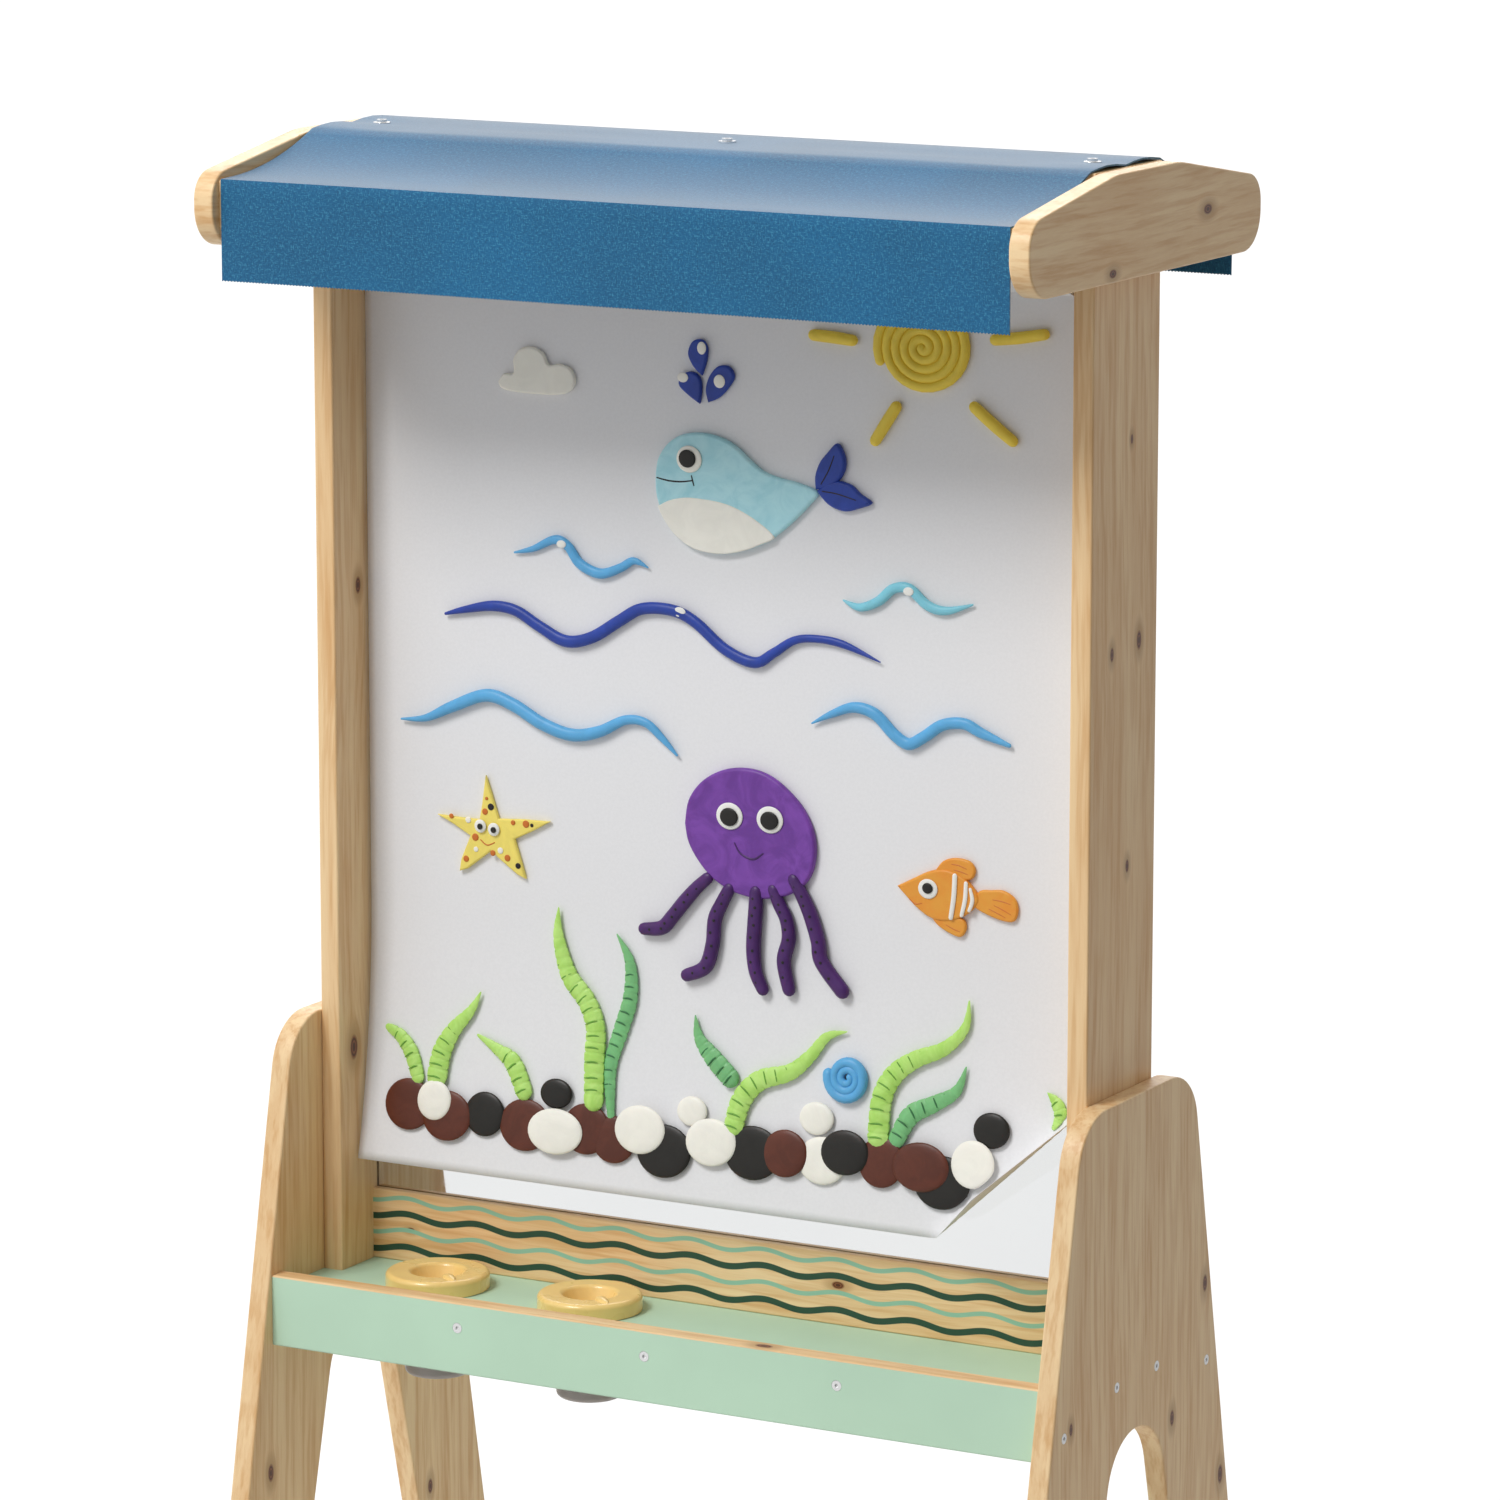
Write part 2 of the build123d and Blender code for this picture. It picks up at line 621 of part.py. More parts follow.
whale_body = [(-52, 1030), (-46, 1052), (-18, 1066), (13, 1058), (37, 1041), (61, 1036), (80, 1030)]
whale_body += [(64, 1010), (41, 992), (14, 981), (-12, 981), (-36, 991), (-49, 1010)]
with BuildPart() as clay_whale:
    with BuildSketch(Plane.XZ):
        outline(whale_body)
        outline([(78, 1031), (79, 1049), (88, 1059), (96, 1066), (103, 1055), (96, 1040)])
        outline([(78, 1031), (94, 1039), (109, 1037), (124, 1025), (106, 1018), (89, 1021)])
    lay_on_sheet(clay_thickness)
finish(clay_whale.part, "clay_whale")

with BuildPart() as clay_waves:
    with BuildSketch(Plane.XZ):
        strip(
            [(-170, 967), (-153, 972), (-136, 979), (-116, 962), (-99, 957), (-80, 964), (-60, 966)],
            [1.2, 2.6, 3.6, 4.0, 4.0, 3.2, 1.2],
        )
        strip(
            [(102, 953), (115, 950), (129, 956), (147, 967), (168, 956), (185, 953), (203, 958)],
            [1.2, 3.2, 3.8, 3.8, 3.8, 3.4, 1.2],
        )
        strip(
            [(-229, 917), (-206, 924), (-178, 926), (-150, 914), (-128, 905), (-106, 910), (-83, 924)]
            + [(-60, 935), (-36, 935), (-12, 924), (8, 908), (29, 903), (46, 912), (64, 922)]
            + [(84, 924), (106, 921), (130, 912)],
            [1.2, 3.0, 4.0, 4.2, 4.6, 4.6, 4.6, 4.6, 4.4, 4.4, 4.2, 3.8, 3.2, 2.8, 2.8, 2.4, 1.0],
        )
        strip(
            [(-268, 835), (-247, 838), (-222, 849), (-196, 859), (-171, 853), (-147, 842)]
            + [(-123, 836), (-100, 841), (-76, 851), (-56, 848), (-36, 831)],
            [1.2, 3.2, 4.4, 4.8, 4.8, 4.8, 4.8, 4.4, 3.6, 3.0, 1.2],
        )
        strip(
            [(77, 863), (93, 871), (111, 877), (129, 873), (144, 859), (156, 854), (169, 862)]
            + [(188, 873), (207, 870), (233, 861)],
            [1.2, 3.2, 4.0, 4.4, 4.4, 4.4, 4.4, 4.4, 4.0, 1.4],
        )
    lay_on_sheet(5.5)
finish(clay_waves.part, "clay_waves")

star_tips = [(-196, 797), (-144, 769), (-165, 726), (-218, 726), (-236, 765)]
star_waists = [(-185, 768), (-174, 753), (-193, 743), (-211, 753), (-202, 765)]
with BuildPart() as clay_starfish:
    with BuildSketch(Plane.XZ):
        with BuildLine():
            Polyline([point for pair in zip(star_tips, star_waists) for point in pair], close=True)
        make_face()
        fillet(vertices(), 1.5)
    lay_on_sheet(clay_thickness)
finish(clay_starfish.part, "clay_starfish")

with BuildPart() as clay_octopus:
    with BuildSketch(Plane.XZ):
        with Locations((27, 778)):
            Ellipse(55, 49)
        strip([(-10, 740), (-26, 723), (-38, 709), (-48, 699), (-62, 698)], [4, 5, 5, 5.5, 4])
        strip([(9, 734), (-2, 713), (-5, 692), (-11, 674), (-26, 667)], [4.5, 5, 5, 5, 4])
        strip([(31, 733), (30, 712), (29, 692), (31, 676), (37, 664)], [4.5, 5.5, 5.5, 5, 4.5])
        strip([(45, 735), (55, 719), (58, 703), (54, 685), (59, 667)], [4, 5, 5, 5, 4.5])
        strip([(64, 745), (75, 723), (82, 704), (86, 688), (101, 670)], [4.5, 5.5, 5.5, 5.5, 5])
    lay_on_sheet(6)
finish(clay_octopus.part, "clay_octopus")

with BuildPart() as clay_fish:
    with BuildSketch(Plane.XZ):
        outline([(147, 751), (160, 758), (177, 766), (196, 764), (208, 748), (194, 732), (174, 729), (157, 740)])
        outline([(202, 748), (214, 753), (229, 755), (240, 750), (239, 735), (224, 735), (210, 739)])
        outline([(176, 765), (184, 774), (200, 775), (207, 768), (200, 761)])
        outline([(172, 731), (181, 722), (197, 719), (200, 728), (190, 734)])
    lay_on_sheet(clay_thickness)
finish(clay_fish.part, "clay_fish")

with BuildPart() as clay_eyes:
    with BuildSketch(Plane.XZ):
        with Locations((-23.5, 1045.5)):
            Circle(10)
        with Locations((171, 752)):
            Circle(8)
    lay_on_sheet(1.5, lift=clay_thickness + fit_gap)
finish(clay_eyes.part, "clay_eyes")

pebble_places = [(-258, 545, 19), (-234, 551, 14.5), (-224, 541, 19), (-192, 546, 18), (-157, 541, 20)]
pebble_places += [(-132, 567, 12), (-133, 539, 19), (-106, 545, 19), (-82, 540, 17), (-59, 549, 18)]
pebble_places += [(-37, 535, 20), (-17, 567, 11), (1, 547, 19), (35, 543, 21), (62, 546, 17)]
pebble_places += [(85, 573, 12), (91, 546, 18), (111, 552, 17), (139, 549, 18), (172, 550, 19)]
pebble_places += [(187, 540, 20), (213, 557, 17), (226, 580, 13)]
shell_place = (108, 607)
shell_radius = 20.5
with BuildPart() as clay_pebbles:
    with BuildSketch(Plane.XZ):
        for x, z, radius in pebble_places:
            with Locations((x, z)):
                Circle(radius)
    lay_on_sheet(pebble_thickness)
finish(clay_pebbles.part, "clay_pebbles")

with BuildPart() as clay_shell:
    with BuildSketch(Plane.XZ):
        with Locations(shell_place):
            Circle(shell_radius)
    lay_on_sheet(6)
finish(clay_shell.part, "clay_shell")

with BuildPart() as clay_seaweed:
    with BuildSketch(Plane.XZ):
        strip([(-279, 600), (-269, 594), (-259, 582), (-252, 565)], [2.5, 5, 6, 6])
        strip([(-202, 635), (-210, 621), (-224, 605), (-233, 586), (-236, 566)], [1.2, 3.5, 6, 8, 8.5])
        strip([(-201, 603), (-186, 595), (-171, 586), (-160, 565)], [1.5, 4.5, 7, 7.5])
        strip(
            [(-135, 705), (-134, 685), (-126, 657), (-109, 638), (-101, 620), (-101, 598), (-99, 562)],
            [1.5, 5, 7, 7.5, 8, 8.5, 8.5],
        )
        strip(
            [(-86, 690), (-74, 670), (-74, 645), (-81, 620), (-88, 595), (-87, 570), (-84, 552)],
            [1.5, 5, 6, 6, 5.5, 4, 3],
        )
        strip([(-19, 637), (-14, 622), (-2, 608), (14, 594)], [1.2, 4.5, 7, 7.5])
        strip(
            [(105, 640), (88, 634), (77, 619), (61, 605), (37, 596), (22, 581), (17, 560)],
            [1.2, 3.5, 5, 6, 7.5, 8, 8],
        )
        strip(
            [(204, 672), (201, 653), (185, 636), (164, 626), (146, 614), (137, 594), (136, 566)],
            [1.2, 3.5, 5, 6, 7.5, 8, 8.5],
        )
        strip([(203, 624), (195, 606), (178, 595), (160, 585), (151, 566)], [1.2, 4, 6, 7, 6.5])
        strip([(279, 621), (284, 616), (288, 612)], [1.2, 3, 2])
        for x, z, radius in pebble_places:
            with Locations((x, z)):
                Circle(radius + fit_gap, mode=Mode.SUBTRACT)
        with Locations(shell_place):
            Circle(shell_radius + fit_gap, mode=Mode.SUBTRACT)
    lay_on_sheet(clay_thickness)
finish(clay_seaweed.part, "clay_seaweed")

# ---------------------------------------------------------------- paint cups
rim_bottom = tray_floor_top + fit_gap
rim_top = rim_bottom + cup_rim
lid_bottom = tray_floor_top + 2 * fit_gap
lid_top = lid_bottom + lid_height
lid_ceiling = cup_neck_top + fit_gap
for cup_name, lid_name, place in zip(cup_names, lid_names, cup_places):
    cup_plane = Plane(origin=(place[0], place[1], 0), x_dir=(1, 0, 0), z_dir=(0, -1, 0))
    axis = Axis((place[0], place[1], 0), (0, 0, 1))
    with BuildPart() as cup:
        with BuildSketch(cup_plane):
            with BuildLine():
                Polyline(
                    (0, cup_bottom),
                    (cup_bottom_radius, cup_bottom),
                    (cup_top_radius, rim_bottom),
                    (cup_rim_radius, rim_bottom),
                    (cup_rim_radius, rim_top),
                    (cup_top_radius, rim_top),
                    (cup_top_radius, cup_neck_top),
                    (cup_top_radius - cup_wall, cup_neck_top),
                    (cup_top_radius - cup_wall, rim_bottom),
                    (cup_bottom_radius - cup_wall, cup_bottom + cup_wall),
                    (0, cup_bottom + cup_wall),
                    close=True,
                )
            make_face()
        revolve(axis=axis)
        bottom_edges = edges().filter_by(GeomType.CIRCLE).group_by(Axis.Z)
        fillet(bottom_edges[0], 4)
        fillet(bottom_edges[1], 3)
    finish(cup.part, cup_name)
    with BuildPart() as lid:
        with BuildSketch(cup_plane):
            with BuildLine():
                Polyline(
                    (cup_rim_radius + fit_gap, lid_bottom),
                    (lid_radius, lid_bottom),
                    (lid_radius, lid_top),
                    (throat_top_radius, lid_top),
                    (throat_bottom_radius, throat_bottom),
                    (throat_bottom_radius + cup_wall, throat_bottom),
                    (throat_top_radius + cup_wall, lid_ceiling),
                    (cup_top_radius + fit_gap, lid_ceiling),
                    (cup_top_radius + fit_gap, rim_top + fit_gap),
                    (cup_rim_radius + fit_gap, rim_top + fit_gap),
                    close=True,
                )
            make_face()
        revolve(axis=axis)
        top_edges = edges().filter_by(GeomType.CIRCLE).group_by(Axis.Z)[-1]
        fillet(top_edges, lid_round)
    finish(lid.part, lid_name)
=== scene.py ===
"""A child's wooden easel with a canopy and a clay picture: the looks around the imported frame.

Everything is in metres, in the frame's own axes: +Z up, -Y towards the painter.
Lengths in the lists below are millimetres and pass through mm().
"""

import math

import bpy
from bpy.props import FloatProperty, FloatVectorProperty, IntProperty, PointerProperty
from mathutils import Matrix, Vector, noise


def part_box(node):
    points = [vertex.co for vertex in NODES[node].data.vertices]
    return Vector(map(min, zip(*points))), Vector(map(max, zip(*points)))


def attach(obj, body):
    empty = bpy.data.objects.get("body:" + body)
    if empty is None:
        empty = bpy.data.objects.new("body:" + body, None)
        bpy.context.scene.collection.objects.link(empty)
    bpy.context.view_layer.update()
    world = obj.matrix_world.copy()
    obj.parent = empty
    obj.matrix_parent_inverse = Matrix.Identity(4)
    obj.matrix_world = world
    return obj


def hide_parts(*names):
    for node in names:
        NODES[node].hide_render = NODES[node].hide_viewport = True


bl_info = {
    "name": "Wooden Easel",
    "version": (1, 0, 0),
    "blender": (4, 5, 0),
    "location": "View3D > Sidebar > Easel",
    "description": "Gives the wooden easel its wood, canopy, paper, cups and clay picture",
    "category": "Object",
}

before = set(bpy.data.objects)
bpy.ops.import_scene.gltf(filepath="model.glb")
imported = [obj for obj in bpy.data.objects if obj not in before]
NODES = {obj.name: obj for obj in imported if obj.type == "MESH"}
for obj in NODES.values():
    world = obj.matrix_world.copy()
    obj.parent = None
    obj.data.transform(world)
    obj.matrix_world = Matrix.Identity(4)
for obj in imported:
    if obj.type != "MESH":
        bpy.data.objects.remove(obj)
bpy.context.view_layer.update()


# ---------------------------------------------------------------- sizes taken from the frame
def mm(value):
    """Millimetres as metres."""
    return value / 1000.0


CANOPY_LOW, CANOPY_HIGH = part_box("canopy_cover")
PAPER_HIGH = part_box("paper_sheet")[1]
TRAY_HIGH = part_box("tray_floor")[1]
APRON_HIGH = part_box("front_apron")[1]
UPRIGHT_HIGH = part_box("right_upright")[1]
UPRIGHT_INSIDE = mm(301)  # half width between the uprights
LEG_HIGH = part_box("right_leg_panel")[1]
ROLL_LOW, ROLL_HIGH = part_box("paper_roll")
ROLL_Y = (ROLL_LOW.y + ROLL_HIGH.y) / 2
ROLL_Z = (ROLL_LOW.z + ROLL_HIGH.z) / 2

CANOPY_CREASE = mm(54.5)  # half depth of the flat top
CANOPY_EAVE_Z = mm(1248)  # where the cloth bends over the eaves
CANOPY_EAVE_BEND = mm(1.6)  # height of that bend
CANOPY_REAR_HEM = mm(1178.5)
CANOPY_SAG = mm(7)  # in the middle of each slope
CANOPY_CLOTH = mm(1.2)  # thickness
CANOPY_FIXINGS = mm(289)  # spacing of the screws along the top
SLOPE_STEPS = 14
VALANCE_STEPS = 8
HEM_TOOTH = mm(2.6)  # width of a tooth of the cut hem
HEM_TOOTH_DEPTH = mm(0.9)

PAPER_FRONT = mm(-9)  # the front face where the sheet hangs straight
PAPER_HEM = mm(501)  # height of the lower edge
PAPER_SKIN = mm(0.4)  # thickness
PAPER_GAP = mm(0.3)  # between the paper and the clay
CURL_START = mm(700)  # below this height the sheet curls forward
CURL_RADIUS = mm(890)


def sheet_front(z):
    """How far forward the paper's front face lies at height z."""
    drop = max(CURL_START - z, 0.0)
    return PAPER_FRONT - CURL_RADIUS + math.sqrt(CURL_RADIUS**2 - drop**2)


# The sheet's lower right corner turns about the line between these two points, given as X and Z.
CORNER_LOW = Vector((mm(176), PAPER_HEM))
CORNER_HIGH = Vector((mm(299), mm(617)))
CORNER_TURN = math.radians(86)


def over_sheet(x, z, proud):
    """The place of a point that stands proud of the paper, with the corner curled forward."""
    bend = bpy.context.scene.easel_sizes.curl_tightness
    along = (CORNER_HIGH - CORNER_LOW).normalized()
    across = Vector((along.y, -along.x))
    beyond = (Vector((x, z)) - CORNER_LOW).dot(across)
    if beyond <= 0:
        return Vector((x, sheet_front(z) - proud, z))
    turn = min(beyond / bend, CORNER_TURN)
    rest = max(0.0, beyond - bend * CORNER_TURN)
    spread = bend * math.sin(turn) + rest * math.cos(CORNER_TURN) - proud * math.sin(turn)
    lift = bend * (1 - math.cos(turn)) + rest * math.sin(CORNER_TURN) + proud * math.cos(turn)
    place = Vector((x, z)) + across * (spread - beyond)
    foot = z - across.y * beyond
    return Vector((place.x, sheet_front(foot) - lift, place.y))


# ---------------------------------------------------------------- settings
def colour_setting(name, text, default):
    """A colour that a user may change."""
    return FloatVectorProperty(
        name=name, description=text, subtype="COLOR", size=3, min=0, max=1, default=default
    )


def seen(red, green, blue):
    """A screen colour, 0 to 255, as the linear colour that shaders use."""

    def linear(value):
        value = value / 255
        return value / 12.92 if value <= 0.04045 else ((value + 0.055) / 1.055) ** 2.4

    return (linear(red), linear(green), linear(blue))


class EASEL_PG_colours(bpy.types.PropertyGroup):
    """Colours of the easel's finishes."""

    pine_light: colour_setting("Pine, light", "Early wood of the boards", seen(246, 215, 167))
    pine_dark: colour_setting("Pine, dark", "Late wood of the boards", seen(214, 163, 103))
    mint: colour_setting("Mint paint", "Paint of the tray and its aprons", seen(192, 224, 198))
    wave_dark: colour_setting("Dark wave", "Thick printed waves", seen(0, 70, 54))
    wave_light: colour_setting("Light wave", "Thin printed waves", seen(146, 196, 170))
    canopy: colour_setting("Canopy", "Main thread of the canopy", seen(0, 94, 140))
    canopy_fleck: colour_setting("Canopy fleck", "Light thread of the canopy", seen(70, 155, 190))
    paper: colour_setting("Paper", "Drawing paper", seen(234, 234, 236))
    lid: colour_setting("Cup lid", "Plastic of the cup lids", seen(255, 216, 136))


class EASEL_PG_sizes(bpy.types.PropertyGroup):
    """Sizes that shape the soft pieces."""

    hem_wave: FloatProperty(
        name="Hem wave",
        description="How far the hanging hems swing in and out",
        default=mm(0.8),
        unit="LENGTH",
    )
    canopy_dome: FloatProperty(
        name="Canopy dome",
        description="How far the flat top lifts between its fixings",
        default=mm(2.2),
        unit="LENGTH",
    )
    curl_tightness: FloatProperty(
        name="Corner curl radius",
        description="Radius of the bend in the paper's turned corner",
        default=mm(9),
        unit="LENGTH",
    )
    sun_turns: IntProperty(
        name="Sun turns",
        description="Turns of the clay string that makes the sun",
        default=5,
        min=2,
        max=8,
    )


# ---------------------------------------------------------------- node helpers
def new_material(name, roughness, **constants):
    """A node material, its tree and its shader, with constants on the shader's own sockets."""
    material = bpy.data.materials.new(name)
    material.use_nodes = True
    tree = material.node_tree
    shader = tree.nodes["Principled BSDF"]
    shader.inputs["Roughness"].default_value = roughness
    for socket, value in constants.items():
        shader.inputs[socket.replace("_", " ")].default_value = value
    return material, tree, shader


def add_node(tree, kind, inputs=None, **settings):
    """A shader node with its settings, and its inputs linked or set by name or number."""
    made = tree.nodes.new("ShaderNode" + kind)
    for key, value in settings.items():
        setattr(made, key, value)
    for key, value in (inputs or {}).items():
        if isinstance(value, bpy.types.NodeSocket):
            tree.links.new(value, made.inputs[key])
        else:
            made.inputs[key].default_value = value
    return made


def calc(tree, operation, *values, clamp=False):
    """The result of a Math node."""
    inputs = dict(enumerate(values))
    return add_node(tree, "Math", inputs, operation=operation, use_clamp=clamp).outputs[0]


def vector_calc(tree, operation, *values, out="Vector"):
    """The result of a Vector Math node."""
    inputs = dict(enumerate(values))
    return add_node(tree, "VectorMath", inputs, operation=operation).outputs[out]


def scaled(tree, vector, factor):
    """The vector times a number that may vary over the surface."""
    made = add_node(tree, "VectorMath", {0: vector, "Scale": factor}, operation="SCALE")
    return made.outputs["Vector"]


def step(tree, value, low, high, start=0.0, end=1.0):
    """A smooth step from start to end as the value goes from low to high."""
    inputs = {"Value": value, "From Min": low, "From Max": high, "To Min": start, "To Max": end}
    return add_node(tree, "MapRange", inputs, interpolation_type="SMOOTHSTEP").outputs[0]


def place(tree):
    """The point on the surface in the piece's own coordinates, in metres."""
    return add_node(tree, "TexCoord").outputs["Object"]


def stretched(tree, vector, scale, turn=(0, 0, 0)):
    """The coordinates scaled along each axis."""
    return add_node(tree, "Mapping", {"Vector": vector, "Scale": scale, "Rotation": turn}).outputs[0]


def grains(tree, vector, scale, detail=3.0, roughness=0.5, distortion=0.0):
    """A noise pattern."""
    inputs = {
        "Vector": vector,
        "Scale": scale,
        "Detail": detail,
        "Roughness": roughness,
        "Distortion": distortion,
    }
    return add_node(tree, "TexNoise", inputs).outputs["Fac"]


def tint(tree, share, first, second):
    """A mix of two colours, each a colour or a socket."""
    made = tree.nodes.new("ShaderNodeMix")
    made.data_type = "RGBA"
    for socket, value in ((made.inputs[0], share), (made.inputs[6], first), (made.inputs[7], second)):
        if isinstance(value, bpy.types.NodeSocket):
            tree.links.new(value, socket)
        elif isinstance(value, (int, float)):
            socket.default_value = value
        else:
            socket.default_value = (*value, 1)
    return made.outputs[2]


def bumped(tree, shader, height, strength, distance):
    """Relief on the shader's normal."""
    inputs = {"Height": height, "Strength": strength, "Distance": distance}
    tree.links.new(add_node(tree, "Bump", inputs).outputs[0], shader.inputs["Normal"])


def coloured(tree, shader, colour):
    """The surface colour."""
    tree.links.new(colour, shader.inputs["Base Color"])


def roughened(tree, shader, pattern, low, high):
    """Roughness that varies with a pattern."""
    tree.links.new(step(tree, pattern, 0.3, 0.7, low, high), shader.inputs["Roughness"])


def shade(colour, factor):
    """A darker or lighter colour."""
    return tuple(min(1.0, channel * factor) for channel in colour)


# ---------------------------------------------------------------- wood
ALONG_X = (0.045, 1.0, 1.0)
ALONG_Z = (1.0, 1.0, 0.045)
GABLE_GRAIN = (0.18, 0.06, 1.0)


def wood_tone(tree, along, seed, knots=(), light=None, dark=None):
    """Planed pine: flowing bands, fine fibres and knots. Returns its colour and its relief."""
    colours = bpy.context.scene.easel_colours
    light = light or tuple(colours.pine_light)
    dark = dark or tuple(colours.pine_dark)
    point = vector_calc(tree, "ADD", place(tree), (seed * 0.137, seed * 0.291, seed * 0.053))
    around_knots = None
    knot_marks = []
    for centre, radius in knots:
        away = vector_calc(tree, "SUBTRACT", place(tree), Vector(centre))
        away = vector_calc(tree, "MULTIPLY", away, tuple(0.55 if part < 0.5 else 1 for part in along))
        distance = calc(tree, "DIVIDE", vector_calc(tree, "LENGTH", away, out="Value"), radius)
        pull = step(tree, distance, 0.2, 5.5, radius * 1.6, 0.0)
        push = scaled(tree, vector_calc(tree, "NORMALIZE", away), pull)
        around_knots = push if around_knots is None else vector_calc(tree, "ADD", around_knots, push)
        knot_marks.append(distance)
    if around_knots is not None:
        point = vector_calc(tree, "SUBTRACT", point, around_knots)
    sway = grains(tree, point, 2.3, 2.0)
    sway = scaled(tree, tuple(mm(30) * part for part in along), sway)
    point = vector_calc(tree, "ADD", point, sway)
    lengthwise = stretched(tree, point, along)
    bands = grains(tree, lengthwise, 62, 3.0, 0.55, 0.35)
    bands = step(tree, bands, 0.34, 0.68)
    lines = grains(tree, lengthwise, 210, 2.0, 0.6)
    lines = step(tree, lines, 0.42, 0.66)
    fibres = grains(tree, lengthwise, 1300, 2.0, 0.6)
    late = calc(tree, "MULTIPLY", calc(tree, "ADD", bands, lines), 0.42)
    fine = calc(tree, "MULTIPLY", calc(tree, "SUBTRACT", fibres, 0.5), 0.35)
    late = calc(tree, "ADD", late, fine, clamp=True)
    tone = tint(tree, late, light, dark)
    patches = step(tree, grains(tree, place(tree), 3.1 + 0.1 * seed, 2.0), 0.35, 0.7, 0.0, 0.24)
    tone = tint(tree, patches, tone, shade(dark, 1.12))
    for distance in knot_marks:
        halo = step(tree, distance, 1.1, 3.4, 0.55, 0.0)
        tone = tint(tree, halo, tone, shade(dark, 0.62))
        rings = calc(tree, "SINE", calc(tree, "MULTIPLY", distance, 15.0))
        heart = tint(tree, step(tree, rings, -1.0, 1.0), seen(86, 48, 28), seen(142, 84, 48))
        tone = tint(tree, step(tree, distance, 0.85, 1.25, 1.0, 0.0), tone, heart)
        tone = tint(tree, step(tree, distance, 0.12, 0.4, 0.8, 0.0), tone, seen(58, 32, 20))
    return tone, fibres


def pine(name, along, seed, knots=()):
    """Clear-coated pine."""
    material, tree, shader = new_material(
        name, 0.45, Specular_IOR_Level=0.45, Coat_Weight=0.25, Coat_Roughness=0.32
    )
    tone, fibres = wood_tone(tree, along, seed, knots)
    coloured(tree, shader, tone)
    roughened(tree, shader, fibres, 0.42, 0.58)
    bumped(tree, shader, fibres, 0.12, mm(0.15))
    return material


def beech(name):
    """Turned beech for the dowel and the pegs."""
    material, tree, shader = new_material(name, 0.5)
    tone, fibres = wood_tone(tree, ALONG_X, 7, (), seen(222, 188, 145), seen(190, 145, 100))
    coloured(tree, shader, tone)
    bumped(tree, shader, fibres, 0.15, mm(0.15))
    return material


def painted_board(name, top_z, top_wood):
    """Mint paint over pine; with top_wood it is rubbed back to the wood along its top edge."""
    colours = bpy.context.scene.easel_colours
    material, tree, shader = new_material(name, 0.5, Specular_IOR_Level=0.4)
    mint = tuple(colours.mint)
    cloud = step(tree, grains(tree, place(tree), 9, 3.0), 0.3, 0.7)
    paint = tint(tree, cloud, shade(mint, 0.97), shade(mint, 1.03))
    brush = grains(tree, stretched(tree, place(tree), ALONG_X), 900, 2.0)
    if top_wood:
        wood, fibres = wood_tone(tree, ALONG_X, 3, (((mm(94.7), mm(-117), top_z), mm(3.4)),))
        height = add_node(tree, "SeparateXYZ", {0: place(tree)}).outputs["Z"]
        wobble = calc(tree, "MULTIPLY", grains(tree, place(tree), 120, 2.0), mm(0.5))
        bare = step(tree, calc(tree, "ADD", height, wobble), top_z - mm(1.25), top_z - mm(0.75))
        paint = tint(tree, bare, paint, wood)
    coloured(tree, shader, paint)
    bumped(tree, shader, brush, 0.08, mm(0.1))
    return material


WAVE_LENGTH = mm(61.2)
WAVE_PEAK_X = mm(-26.9)
WAVE_HEIGHT = mm(2.15)
# Each line's height, width and ink.
WAVE_LINES = ((466.0, 3.4, "light"), (453.8, 4.9, "dark"), (441.3, 3.4, "light"), (428.4, 4.9, "dark"))


def printed_rail(name):
    """Pine with four waving lines printed on both wide faces."""
    colours = bpy.context.scene.easel_colours
    material, tree, shader = new_material(name, 0.5, Specular_IOR_Level=0.35)
    knots = (((mm(95.9), mm(-8), mm(449)), mm(2.6)), ((mm(-268), mm(-8), mm(444)), mm(1.8)))
    tone, fibres = wood_tone(tree, ALONG_X, 5, knots)
    apart = add_node(tree, "SeparateXYZ", {0: place(tree)}).outputs
    angle = calc(tree, "MULTIPLY", calc(tree, "SUBTRACT", apart["X"], WAVE_PEAK_X), math.tau / WAVE_LENGTH)
    wave = calc(tree, "MULTIPLY", calc(tree, "COSINE", angle), WAVE_HEIGHT)
    height = calc(tree, "SUBTRACT", apart["Z"], wave)
    depth = calc(tree, "ABSOLUTE", apart["Y"])
    face = step(tree, depth, mm(7.7), mm(7.9))
    for level, width, ink in WAVE_LINES:
        off = calc(tree, "ABSOLUTE", calc(tree, "SUBTRACT", height, mm(level)))
        line = step(tree, off, mm(width / 2 - 0.15), mm(width / 2 + 0.15), 1.0, 0.0)
        line = calc(tree, "MULTIPLY", line, face)
        colour = colours.wave_dark if ink == "dark" else colours.wave_light
        tone = tint(tree, calc(tree, "MULTIPLY", line, 0.97), tone, tuple(colour))
    coloured(tree, shader, tone)
    bumped(tree, shader, fibres, 0.12, mm(0.15))
    return material


# ---------------------------------------------------------------- plastics, metal, paper
def acrylic(name):
    """Clear acrylic with faint rubbing marks."""
    material, tree, shader = new_material(
        name, 0.05, Transmission_Weight=1.0, IOR=1.49, Specular_IOR_Level=0.5
    )
    cloud = step(tree, grains(tree, place(tree), 4, 2.0), 0.3, 0.7)
    coloured(tree, shader, tint(tree, cloud, (0.75, 0.76, 0.765), (0.78, 0.79, 0.79)))
    rubbing = grains(tree, stretched(tree, place(tree), (1, 1, 6)), 40, 4.0)
    tree.links.new(step(tree, rubbing, 0.45, 0.8, 0.03, 0.12), shader.inputs["Roughness"])
    return material


